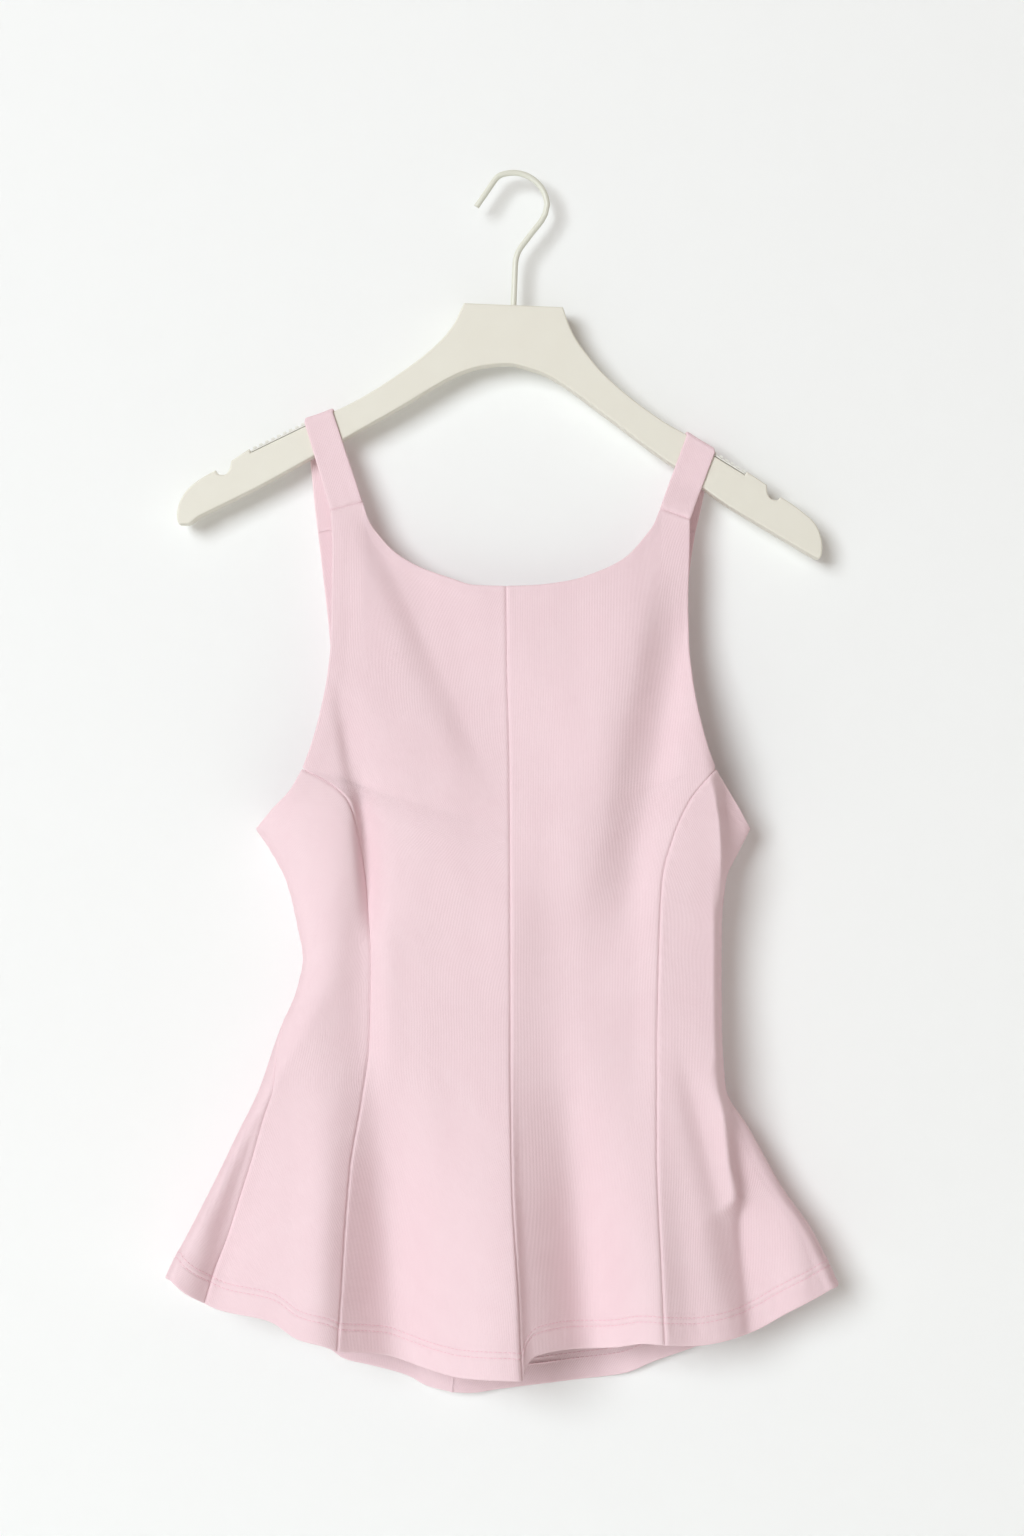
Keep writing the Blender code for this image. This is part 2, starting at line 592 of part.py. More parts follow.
def bar_outline():
    points = []
    for table, count in ((BAR_TOP, 18), (BAR_TOP_RIGHT, 16)):
        points += [tuple(p) for p in path(table, count)]
    points += recess(GRIP_RIGHT, GRIP_DEPTH)
    for table, count in ((ARM_RIGHT, 2), (NOTCH_RIGHT, 6), (TIP_RIGHT, 11), (UNDER, 34),
                         (TIP_LEFT, 12), (NOTCH_LEFT, 6), (ARM_LEFT, 2)):
        run = [tuple(p) for p in path(table, count)]
        points += run if table is ARM_RIGHT else run[1:]
    points += recess(GRIP_LEFT, GRIP_DEPTH)
    near = 1 - BAR_THICK / 2 / EYE
    return [(x * near, EYE_DROP + (drop - EYE_DROP) * near) for x, drop in points]


def grip_outline(line):
    """Comb of ribs standing on a thin strip that fills the recess."""
    near = 1 - BAR_THICK / 2 / EYE
    a, b = (Vector((x * near, EYE_DROP + (drop - EYE_DROP) * near)) for x, drop in line)
    way = (b - a).normalized()
    down = Vector((-way.y, way.x))
    long = (b - a).length
    floor, web = GRIP_DEPTH - GAP, 1.3
    start, end = GAP + 0.2, long - GAP - 0.2
    ribs = int((end - start - RIB_WIDTH) / RIB_PITCH) + 1
    spare = (end - start - (ribs - 1) * RIB_PITCH - RIB_WIDTH) / 2
    points = [a + way * start + down * floor, a + way * start + down * web]
    for k in range(ribs):
        at = start + spare + k * RIB_PITCH
        points += [a + way * (at + 0.01) + down * web, a + way * (at + 0.25),
                   a + way * (at + RIB_WIDTH - 0.25), a + way * (at + RIB_WIDTH - 0.01) + down * web]
    points += [a + way * end + down * web, a + way * end + down * floor]
    return [(p.x, p.y) for p in points]


def hook(metal, collection):
    """The bent wire: a stem, a slant, the round bend at the top and a straight end."""
    middle = Vector((0, -(HOOK_BEND - WIRE)))
    points = [(STEM_X, -102), (STEM_X, -86), (1.5, -58), (2.2, -52.6), (4, -47.6),
              (8.9, -41.1), (14.3, -34.6), (18.3, -29.6), (20.9, -25)]
    for k in range(0, 12):
        angle = math.radians(10 * k)
        points.append((middle.x + HOOK_BEND * math.cos(angle), middle.y + HOOK_BEND * math.sin(angle)))
    points += [(-9.6, -0.5), (-11.3, -2.2), (-12.9, -4.4), (-23.7, -20.1)]
    curve = bpy.data.curves.new("hanger_hook", "CURVE")
    curve.dimensions = "3D"
    curve.bevel_depth = WIRE * MM
    curve.bevel_resolution = 2
    curve.use_fill_caps = True
    line = curve.splines.new("POLY")
    line.points.add(len(points) - 1)
    for point, (x, z) in zip(line.points, points):
        point.co = (x * MM, 0, z * MM, 1)
    piece = bpy.data.objects.new("hanger_hook", curve)
    collection.objects.link(piece)
    return as_mesh(piece, metal, collection)


def hanger(collection, cutters):
    paint = material("cream_painted_wood", (0.77, 0.74, 0.66), 0.55)
    metal = material("cream_painted_wire", (0.80, 0.80, 0.70), 0.4)
    rubber = material("white_rubber", (0.85, 0.85, 0.80), 0.6)
    bar = flat_piece("hanger_bar", bar_outline(), BAR_THICK, BAR_EDGE, paint, collection)
    hook(metal, collection)
    bpy.ops.mesh.primitive_cylinder_add(vertices=20, radius=(WIRE + GAP) * MM, depth=30 * MM,
                                        location=(STEM_X * MM, 0, -(102 + GAP - 15) * MM))
    socket = bpy.context.object
    socket.name = "cutter_socket"
    socket.hide_render = True
    socket.display_type = "WIRE"
    for owner in list(socket.users_collection):
        owner.objects.unlink(socket)
    cutters.objects.link(socket)
    cut = bar.modifiers.new("socket", "BOOLEAN")
    cut.operation = "DIFFERENCE"
    cut.solver = "EXACT"
    cut.object = socket
    for name, line in (("grip_left", GRIP_LEFT), ("grip_right", GRIP_RIGHT)):
        flat_piece(name, grip_outline(line), BAR_THICK - 1, 0.15, rubber, collection)


def main():
    for old in list(bpy.data.objects):
        bpy.data.objects.remove(old)
    collection = bpy.data.collections.new("peplum_top_on_hanger")
    cutters = bpy.data.collections.new("cutters")
    bpy.context.scene.collection.children.link(collection)
    bpy.context.scene.collection.children.link(cutters)
    knit = material("pale_pink_knit", (0.86, 0.70, 0.74), 0.85)
    hanger(collection, cutters)
    body_panels(knit, collection)
    strap("strap_left", (-135.4, -117), STRAP_SEAM_LEFT,
          BACK_STRAP_LEFT, "left", knit, collection)
    strap("strap_right", (112.8, 131.2), STRAP_SEAM_RIGHT,
          BACK_STRAP_RIGHT, "right", knit, collection)


main()
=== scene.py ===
"""Looks of a sleeveless peplum top of smooth stretch knit on a flat hanger.

Every sewn piece is a fine cloth shell on the form of its solid, with turned
edges, seam grooves and a twin-needle hem. Sizes are in millimetres as seen from
the front at the hanger's plane; "drop" is millimetres below the hook's bend.
"""

import logging
import math
from collections.abc import Callable
from dataclasses import dataclass
from enum import Enum
from typing import NamedTuple

import bmesh
import bpy
import numpy as np
from bpy.types import ID, Curve, Material, Mesh, Node, NodeSocket, NodeTree, Object
from mathutils import Matrix, Vector


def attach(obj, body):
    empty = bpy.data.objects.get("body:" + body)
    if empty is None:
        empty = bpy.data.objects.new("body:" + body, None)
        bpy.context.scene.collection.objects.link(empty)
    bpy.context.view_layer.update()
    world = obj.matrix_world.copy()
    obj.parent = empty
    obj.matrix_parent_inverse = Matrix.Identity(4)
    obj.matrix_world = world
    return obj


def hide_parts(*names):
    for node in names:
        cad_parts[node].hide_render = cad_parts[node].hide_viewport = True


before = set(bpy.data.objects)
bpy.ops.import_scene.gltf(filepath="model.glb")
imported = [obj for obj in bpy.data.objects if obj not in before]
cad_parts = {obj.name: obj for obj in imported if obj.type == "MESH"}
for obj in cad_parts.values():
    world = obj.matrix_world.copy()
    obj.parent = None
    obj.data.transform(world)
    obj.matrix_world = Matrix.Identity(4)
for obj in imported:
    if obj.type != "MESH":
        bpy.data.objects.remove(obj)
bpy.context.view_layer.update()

LOG = logging.getLogger("peplum_top")
MM = 0.001
BODY = "root"
Array = np.ndarray
Points = tuple[tuple[float, float], ...]
Faces = tuple[Array, Array, Array]      # outer, inner, lengths

WALL = 1.6          # thickness of the sewn knit
EYE = 1500.0        # distance that the outlines below are seen from
EYE_DROP = 385.0    # height that they are seen from
BAR_THICK = 13.0
BAR_NEAR = 1 - BAR_THICK / 2 / EYE      # scale of an outline at the bar's front face
GAP = 0.3           # clearance between the cloth and the hanger


class Section(NamedTuple):
    """One height of the body: its outline and how deep it stands."""

    drop: float
    left: float
    right: float
    edge: float     # depth of the side lines
    front: float    # how far the front stands out from them
    back: float
    turn: float     # how far the front curves in from the left one


class Tuck(NamedTuple):
    """One height of the fold on the right side, and of the flap behind it."""

    drop: float
    line: float
    depth: float
    width: float
    roll: float     # how far in the cloth rolls over to the line


class Fold(NamedTuple):
    """A soft ridge or trough from a top point to a bottom point."""

    x0: float
    drop0: float
    x1: float
    drop1: float
    left: float     # half widths
    right: float
    height: float   # outward, at its full size
    fades: bool = False  # dies out at the bottom point too


class EdgeKind(Enum):
    """How a panel's edge is finished."""

    SEAM = "sewn to its neighbour"
    TURNED = "turned in, as at the neck and armholes"
    HEM = "turned up and stitched in two rows"


def linear(code: str) -> tuple[float, float, float, float]:
    """Turn an sRGB hex colour into linear RGBA.

    Args:
        code: six hex digits with a leading hash.

    Returns:
        The linear colour with an alpha of one.
    """
    parts = [int(code[i:i + 2], 16) / 255 for i in (1, 3, 5)]
    return (*(p / 12.92 if p <= 0.04045 else ((p + 0.055) / 1.055) ** 2.4 for p in parts), 1.0)


def add_node(tree: NodeTree, kind: str, inputs: dict | None = None, **settings) -> Node:
    """Add a node with its settings, values and links.

    Args:
        tree: the tree that gets the node.
        kind: Blender's name for the node's type.
        inputs: socket name or number to a value, to the output that feeds it,
            or to the node whose first output does.
        settings: the node's own properties.

    Returns:
        The new node.
    """
    node = tree.nodes.new(kind)
    for name, value in settings.items():
        setattr(node, name, value)
    for key, value in (inputs or {}).items():
        if isinstance(value, Node):
            value = value.outputs[0]
        if isinstance(value, NodeSocket):
            tree.links.new(value, node.inputs[key])
        else:
            node.inputs[key].default_value = value
    return node


def new_material(name: str) -> tuple[Material, NodeTree]:
    """Make a material with an empty tree.

    Args:
        name: its name.

    Returns:
        The material and its tree.
    """
    material = bpy.data.materials.new(name)
    material.use_nodes = True
    material.node_tree.nodes.clear()
    return material, material.node_tree


def new_shape_tree(name: str, **inputs: str) -> tuple[NodeTree, Node]:
    """Start a Geometry Nodes tree that changes a mesh.

    Args:
        name: the tree's name.
        inputs: the name of each input besides the mesh, to Float or Int.

    Returns:
        The tree, and the node that gives its inputs.
    """
    tree = bpy.data.node_groups.new(name, "GeometryNodeTree")
    for socket, kind in {"Geometry": "Geometry", **inputs}.items():
        tree.interface.new_socket(socket, in_out="INPUT", socket_type=f"NodeSocket{kind}")
    tree.interface.new_socket("Geometry", in_out="OUTPUT", socket_type="NodeSocketGeometry")
    return tree, add_node(tree, "NodeGroupInput")


def linked(name: str, data: ID) -> Object:
    """Put some data in the scene as an object.

    Args:
        name: the object's name.
        data: its mesh, curve, light or camera.

    Returns:
        The object.
    """
    made = bpy.data.objects.new(name, data)
    bpy.context.scene.collection.objects.link(made)
    return made


def plain_mesh(source: Object) -> Mesh:
    """Take the mesh that an object's curve or modifiers make.

    Args:
        source: the object, which stays as it is.

    Returns:
        A new mesh.
    """
    bpy.context.view_layer.update()
    graph = bpy.context.evaluated_depsgraph_get()
    return bpy.data.meshes.new_from_object(source.evaluated_get(graph))


def baked(piece: Object, tree: NodeTree, values: dict[str, float]) -> Object:
    """Run a Geometry Nodes tree on an object and keep the plain mesh.

    Args:
        piece: the object whose mesh feeds the tree.
        tree: the tree.
        values: input names to values, set by each socket's identifier.

    Returns:
        The same object with the result as its mesh and no modifier.
    """
    modifier = piece.modifiers.new("shape", "NODES")
    modifier.node_group = tree
    for item in tree.interface.items_tree:
        if item.name in values:
            modifier[item.identifier] = values[item.name]
    mesh = plain_mesh(piece)
    piece.modifiers.remove(modifier)
    piece.data = mesh
    mesh.name = piece.name
    return piece


def ease(t: Array) -> Array:
    """Smooth step from 0 to 1."""
    t = np.clip(t, 0, 1)
    return t * t * (3 - 2 * t)


def quarter(t: Array, power: float = 2.0) -> Array:
    """Rounded rise: 0 at the side line, 1 from there inward."""
    return np.maximum(1 - (1 - np.clip(t, 0, 1)) ** power, 0) ** (1 / power)


class Spline:
    """Smooth curve through points, which never overshoots between them."""

    def __init__(self, xs: Array, ys: Array) -> None:
        """Work out the tangents once.

        Args:
            xs: rising positions.
            ys: values there.
        """
        self.xs, self.ys = np.asarray(xs, float), np.asarray(ys, float)
        self.step = np.diff(self.xs)
        slope = np.diff(self.ys) / self.step
        self.tangent = np.concatenate([slope[:1], np.zeros(len(slope) - 1), slope[-1:]])
        for i in range(1, len(slope)):
            if slope[i - 1] * slope[i] > 0:
                a = 2 * self.step[i] + self.step[i - 1]
                b = self.step[i] + 2 * self.step[i - 1]
                self.tangent[i] = (a + b) / (a / slope[i - 1] + b / slope[i])

    def __call__(self, at: Array) -> Array:
        """Read the curve, held at its ends.

        Args:
            at: positions.

        Returns:
            The values there.
        """
        at = np.asarray(at, float)
        k = np.clip(np.searchsorted(self.xs, at) - 1, 0, len(self.step) - 1)
        h = self.step[k]
        t = np.clip((at - self.xs[k]) / h, 0, 1)
        return ((2 * t**3 - 3 * t**2 + 1) * self.ys[k] + (t**3 - 2 * t**2 + t) * h * self.tangent[k]
                + (3 * t**2 - 2 * t**3) * self.ys[k + 1] + (t**3 - t**2) * h * self.tangent[k + 1])


def run_of(points: Array) -> Array:
    """Length along a polyline at each of its points."""
    return np.concatenate([[0.0], np.cumsum(np.linalg.norm(np.diff(points, axis=0), axis=1))])


def grid_lengths(grid: Array) -> tuple[Array, Array]:
    """Lengths along a grid of points.

    Args:
        grid: the points, row by row.

    Returns:
        The length across from the left and down from the top, at each point.
    """
    across, down = (np.cumsum(np.linalg.norm(np.diff(grid, axis=axis), axis=-1), axis=axis)
                    for axis in (1, 0))
    return np.pad(across, ((0, 0), (1, 0))), np.pad(down, ((1, 0), (0, 0)))


def at_lengths(points: Array, run: Array, want: Array) -> Array:
    """Points at wanted lengths along a polyline.

    Args:
        points: the polyline, one row for each point.
        run: length along it at each row.
        want: the lengths to read.

    Returns:
        One row for each wanted length.
    """
    return np.stack([np.interp(want, run, points[:, i]) for i in range(points.shape[1])], 1)


def path(points: Points, count: int = 400) -> Array:
    """Points spaced evenly along a smooth curve through a table's points.

    Args:
        points: the table, as (x, drop).
        count: how many points to return.

    Returns:
        An array of (x, drop).
    """
    table = np.asarray(points, float)
    run = run_of(table)
    dense = np.linspace(0, run[-1], 3 * count)
    fine = np.stack([Spline(run, table[:, 0])(dense), Spline(run, table[:, 1])(dense)], 1)
    length = run_of(fine)
    return at_lengths(fine, length, np.linspace(0, length[-1], count))


def seen(x: Array, drop: Array, y: Array) -> Array:
    """Where a point seen at (x, drop) really is, when it lies at depth y.

    Args:
        x: across, as seen.
        drop: below the hook's bend, as seen.
        y: its real depth.

    Returns:
        Real (x, y, z) in millimetres.
    """
    near = 1 + y / EYE
    return np.stack([x * near, y + 0 * x, -(EYE_DROP + (drop - EYE_DROP) * near)], -1)


def wall_faces(surface: Array, normal: Array, height: Array, thin: Array,
               lift: Array) -> tuple[Array, Array]:
    """The two faces of a cloth wall.

    Args:
        surface: the form that the cloth lies on, outer side.
        normal: its outward normals.
        height: how far the sewing raises the cloth.
        thin: share of the wall's thickness that is left.
        lift: further move of the inner face.

    Returns:
        Outer and inner points.
    """
    middle = surface + normal * (height - WALL / 2)[..., None]
    half = normal * (WALL / 2 * thin)[..., None]
    return middle + half, middle - half + normal * lift[..., None]


@dataclass(frozen=True)
class BodyForm:
    """The garment's body as one surface round the wearer."""

    round_mm: float = 60.0      # how far the back curves in from the sides
    inset: float = 24.0         # how far from the sides the folds reach full height
    crease: float = 1.7         # softness of the line where the right side tucks under
    sections: tuple[Section, ...] = tuple(Section(*row) for row in (
        (140, -158, 146, 0, 8, 8, 60), (215, -160, 150, -1, 11, 10, 60),
        (266, -168, 156, -2, 16, 12, 60), (330, -178, 162, -4, 23, 13, 60),
        (385, -182, 164, -5, 29, 14, 60), (424, -167, 154, -6, 31, 14, 60),
        (439, -157.3, 147.4, -6, 31, 14, 54), (457, -147.6, 139, -6, 30, 14, 46),
        (487, -139.8, 135.9, -6, 27, 13, 34), (508, -136.2, 135.9, -6, 25, 12, 28),
        (530, -141, 135.9, -6, 25, 12, 24), (550, -149.5, 135.9, -7, 26, 13, 20),
        (593, -164.5, 138, -8, 28, 15, 10), (620, -177.5, 153.4, -8, 29, 16, 7),
        (660, -197, 177, -8, 30, 17, 6), (683, -208.7, 193, -8, 31, 17, 6),
        (718, -226.5, 210, -8, 32, 18, 6), (800, -262, 250, -8, 33, 18, 6)))
    tucks: tuple[Tuck, ...] = tuple(Tuck(*row) for row in (
        (140, 148, 3, 12, 30), (330, 146, 3, 12, 30), (385, 134, 11, 13, 9), (404, 135, 7, 14, 4),
        (424, 137.3, 6, 14, 3.4), (445, 138.3, 6, 13, 3.4), (466, 138, 10, 9, 3.5),
        (487, 138.5, 27, 6, 6), (570, 138, 26, 6, 8), (588, 136.5, 10, 10, 5),
        (612, 140.4, 5, 10, 4.2), (644, 143.8, 6, 9, 4.2), (664, 147.3, 10, 8, 5),
        (682, 146, 14, 7, 26), (740, 151, 17, 6, 34), (800, 155, 18, 6, 34)))
    folds: tuple[Fold, ...] = tuple(Fold(*row) for row in (
        (-109, 190, -18, 380, 16, 45, -5.0, True), (-116, 320, -93, 455, 6, 26, -4.0, True),
        (-101, 380, -93, 480, 5, 14, -7.0, True), (-94, 405, -96, 577, 24, 11, -7.0, True),
        (-116, 545, -126, 740, 24, 20, 12.0), (-92, 530, -75, 730, 24, 30, -19.0),
        (-6, 530, 2, 770, 62, 6, 8.5), (-6, 555, 2, 750, 50, 26, 12.0),
        (29, 535, 52, 750, 24, 26, -20.0), (88, 570, 93, 750, 36, 16, 10.0),
        (108, 555, 151, 735, 13, 22, -5.5, True), (-135, 500, -198, 733, 11, 27, -11.0),
        (127, 215, 69, 480, 26, 16, -6.5, True), (98, 215, 44, 480, 46, 22, 5.5, True),
        (95, 405, 93, 600, 14, 34, 2.0, True), (-2, 400, -4, 640, 50, 26, 2.5, True),
        (24, 400, 22, 640, 22, 40, -2.5, True), (176, 640, 190, 740, 18, 12, 3.5)))
    back_folds: tuple[Fold, ...] = tuple(Fold(*row) for row in (
        (-90, 560, -120, 770, 26, 26, 4.0), (-30, 560, -42, 785, 24, 24, -4.0),
        (30, 560, 42, 780, 24, 26, 4.5), (90, 560, 108, 770, 26, 24, -3.5),
        (130, 600, 160, 750, 18, 18, 3.0)))

    def __post_init__(self) -> None:
        """Make one spline for each column of the tables."""
        curves = {}
        for table in (self.sections, self.tucks):
            drops = [row.drop for row in table]
            for name in table[0]._fields[1:]:
                curves[name] = Spline(drops, [getattr(row, name) for row in table])
        object.__setattr__(self, "curves", curves)

    def read(self, name: str, drop: Array) -> Array:
        """One named column of the tables at some drops."""
        return self.curves[name](drop)

    @staticmethod
    def relief(folds: tuple[Fold, ...], x: Array, drop: Array) -> Array:
        """Sum of some folds at some points.

        Args:
            folds: the ridges and troughs.
            x: across, as seen.
            drop: below the hook's bend, as seen.

        Returns:
            How far each point is pushed outward.
        """
        total = np.zeros_like(x)
        rate, end, at_top = 2.4, 1.25, 0.6      # how fast it grows, where it ends, its first width
        for fold in folds:
            t = (drop - fold.drop0) / (fold.drop1 - fold.drop0)
            centre = fold.x0 + (fold.x1 - fold.x0) * np.clip(t, 0, 1.2)
            grow = ease(rate * t) * ease(rate * (end - t)) if fold.fades else ease(t)
            wide = (np.where(x < centre, fold.left, fold.right)
                    * (at_top + (1 - at_top) * np.clip(t, 0, 1)))
            total += fold.height * grow * np.exp(-((x - centre) / wide) ** 2)
        return total

    def at(self, r: Array, drop: Array) -> Array:
        """The outer surface at a distance round the body.

        Args:
            r: 0 at the left side line, rising over the front to the body's
                width at the right one; below 0 and past the width it runs
                over the back.
            drop: below the hook's bend, as seen.

        Returns:
            Real points in millimetres.
        """
        left, right = self.read("left", drop), self.read("right", drop)
        width = right - left
        edge, front, back = (self.read(n, drop) for n in ("edge", "front", "back"))
        line, flap_wide = self.read("line", drop), self.read("width", drop)
        flap = np.minimum(self.read("depth", drop), front)
        on_back = (r < 0) | (r > width)
        along = np.where(r < 0, -r, np.where(r > width, 2 * width - r, r))
        from_right = width - along
        left_round = np.where(on_back, self.round_mm, self.read("turn", drop))
        right_round = np.where(on_back, self.round_mm, flap_wide)
        x = left + along
        x = np.where(along < left_round,
                     left + left_round * (1 - np.cos(np.pi * along / 2 / left_round)), x)
        x = np.where(from_right < right_round,
                     right - right_round * (1 - np.cos(np.pi * from_right / 2 / right_round)), x)
        rise = quarter((x - left) / left_round)
        roll = self.read("roll", drop)
        t = (line - x) / roll
        tuck = quarter(0.5 * (t + np.sqrt(t * t + (self.crease / roll) ** 2)))
        depth = rise * (flap * quarter((right - x) / flap_wide) + (front - flap) * tuck)
        inside = (quarter((x - left) / np.minimum(left_round, self.inset))
                  * quarter((right - x) / self.inset))
        y_front = edge - depth - inside * self.relief(self.folds, x, drop)
        y_back = (edge + back * rise * quarter((right - x) / self.round_mm)
                  + inside * self.relief(self.back_folds, x, drop))
        return seen(x, drop, np.where(on_back, y_back, y_front))

    def outward(self, r: Array, drop: Array, reach: float = 0.4) -> Array:
        """Unit normals of the surface, away from the hollow.

        Args:
            r: distance round the body.
            drop: below the hook's bend, as seen.
            reach: half the span that the slope is read over.

        Returns:
            One normal for each point.
        """
        across = self.at(r + reach, drop) - self.at(r - reach, drop)
        down = self.at(r, drop + reach) - self.at(r, drop - reach)
        normal = np.cross(down, across)
        return normal / np.linalg.norm(normal, axis=-1, keepdims=True)

    def round_at(self, points: Array, back: str = "") -> Array:
        """Turn (x, drop) into (distance round the body, drop).

        Args:
            points: rows of (x, drop).
            back: empty on the front, or the "left" or "right" half of the back.

        Returns:
            Rows of (r, drop).
        """
        x, drop = points[:, 0], points[:, 1]
        left, right = self.read("left", drop), self.read("right", drop)
        flap_wide = self.round_mm if back else self.read("width", drop)
        turn = self.round_mm if back else self.read("turn", drop)
        from_left, from_right = np.maximum(x - left, 0), np.maximum(right - x, 0)

        def turned(inset: Array, reach: Array) -> Array:
            """Distance round the rounded part for an inset from its side line."""
            return np.arccos(np.clip(1 - inset / reach, -1, 1)) * 2 * reach / np.pi

        along = np.where(from_left < turn, turned(from_left, turn), from_left)
        along = np.where(from_right < flap_wide,
                         right - left - turned(from_right, flap_wide), along)
        if back:
            along = -along if back == "left" else 2 * (right - left) - along
        return np.stack([along, drop], 1)


@dataclass(frozen=True)
class Edge:
    """One side of a panel, as dense points of (r, drop), and its finish."""

    points: Array
    parts: tuple[tuple[float, EdgeKind], ...]   # (where it starts, its kind)

    def read(self, where: Array) -> Array:
        """Points at fractions along the edge."""
        spot = np.linspace(0, 1, len(self.points))
        return np.stack([np.interp(where, spot, self.points[:, i]) for i in (0, 1)], 1)

    def share(self, kind: EdgeKind, where: Array) -> Array:
        """Where the edge has a finish, with a soft change to the next.

        Args:
            kind: the finish.
            where: fractions along the edge.

        Returns:
            1 where it has that finish, 0 elsewhere.
        """
        total = np.zeros_like(where)
        blend, past_end = 0.012, 2.0    # share of the edge over which it changes
        starts = [start for start, _ in self.parts] + [past_end]
        for (start, own), stop in zip(self.parts, starts[1:]):
            if own is kind:
                begun = 9 * (start == 0)
                total += (ease((where - start) / blend + 0.5 + begun)
                          - ease((where - stop) / blend + 0.5))
        return np.clip(total, 0, 1)


def joined(*parts: tuple[Array, float, EdgeKind]) -> Edge:
    """One edge from several curves, each over its share of the edge.

    Args:
        parts: a curve of (r, drop), where it starts on the edge, and its
            finish.

    Returns:
        The edge.
    """
    samples = 2400
    starts = [start for _, start, _ in parts] + [1.0]
    points = []
    for (curve, start, _), stop in zip(parts, starts[1:]):
        spot = np.linspace(0, 1, max(2, round(samples * (stop - start))))
        run = run_of(curve)
        points.append(at_lengths(curve, run, spot * run[-1])[1 if points else 0:])
    return Edge(np.concatenate(points), tuple((start, kind) for _, start, kind in parts))


@dataclass(frozen=True)
class Knitting:
    """How the sewing shapes a panel's edges, in millimetres."""

    groove: float = 0.7         # depth of a seam's groove
    groove_wide: float = 0.95
    shoulder: float = 0.11      # cloth that stands up beside it
    shoulder_at: float = 3.0
    shoulder_wide: float = 1.9
    pucker: float = 0.10        # waves along a sewn edge
    pucker_long: float = 8.5
    pucker_second: float = 1.73     # length of the weaker waves, in the first ones' lengths
    pucker_at: float = 2.5
    pucker_wide: float = 3.0
    turned: float = 0.30        # extra thickness of a turned edge
    turned_wide: float = 7.0
    hem_wide: float = 20.5      # depth of the turned-up hem
    hem_rise: float = 0.35
    rows: tuple[float, float] = (14.2, 17.9)    # stitch rows above the hem's edge
    row_dip: float = 0.34
    row_wide: float = 0.75

    def rounded(self, d: Array) -> Array:
        """Share of the half thickness left at a distance from an open edge."""
        return 0.12 + 0.88 * quarter(d / (WALL * 0.75))

    def relief(self, kind: EdgeKind, d: Array, s: Array) -> Array:
        """Height that an edge's sewing gives the cloth near it.

        Args:
            kind: how the edge is finished.
            d: distance from the edge.
            s: distance along it.

        Returns:
            Height to add along the normal.
        """
        wave = (np.sin(2 * np.pi * s / self.pucker_long)
                + 0.6 * np.sin(2 * np.pi * s / (self.pucker_long * self.pucker_second) + 1.3))
        if kind is EdgeKind.SEAM:
            return (-self.groove * np.exp(-(d / self.groove_wide) ** 2)
                    + self.shoulder * np.exp(-((d - self.shoulder_at) / self.shoulder_wide) ** 2)
                    + self.pucker * wave * np.exp(-((d - self.pucker_at) / self.pucker_wide) ** 2))
        if kind is EdgeKind.TURNED:
            return (self.turned * (1 - ease((d - self.turned_wide) / 3.0))
                    + 0.6 * self.pucker * wave * np.exp(-(d / 7.0) ** 2))
        dips = sum(np.exp(-((d - row) / self.row_wide) ** 2) for row in self.rows)
        between = np.exp(-((d - sum(self.rows) / 2) / 1.0) ** 2)
        return (self.hem_rise * (1 - ease((d - self.hem_wide + 1.5) / 3.0)) - self.row_dip * dips
                + 0.12 * between + 1.5 * self.pucker * wave * np.exp(-((d - 14.0) / 7.0) ** 2))


def spaced(length: float, step: float, fine: tuple[float, ...],
           fine_end: tuple[float, ...]) -> Array:
    """Positions from 0 to 1 along a length, closer together at the ends.

    Args:
        length: the real length in millimetres.
        step: the spacing in the middle.
        fine: distances from the start that get a position of their own.
        fine_end: distances from the end that do.

    Returns:
        Rising fractions of the length, from 0 to 1.
    """
    inner = length - fine[-1] - fine_end[-1]
    middle = np.linspace(fine[-1], fine[-1] + inner, max(2, round(inner / step)) + 1)
    return np.concatenate([fine[:-1], middle, length - np.array(fine_end[-2::-1])]) / length


EDGE_STEPS = (0.0, 0.3, 0.65, 1.1, 1.6, 2.3, 3.2, 4.4)
HEM_STEPS = (*EDGE_STEPS, 6.5, 8.6, 10.7, *np.arange(12.4, 21.6, 0.5))


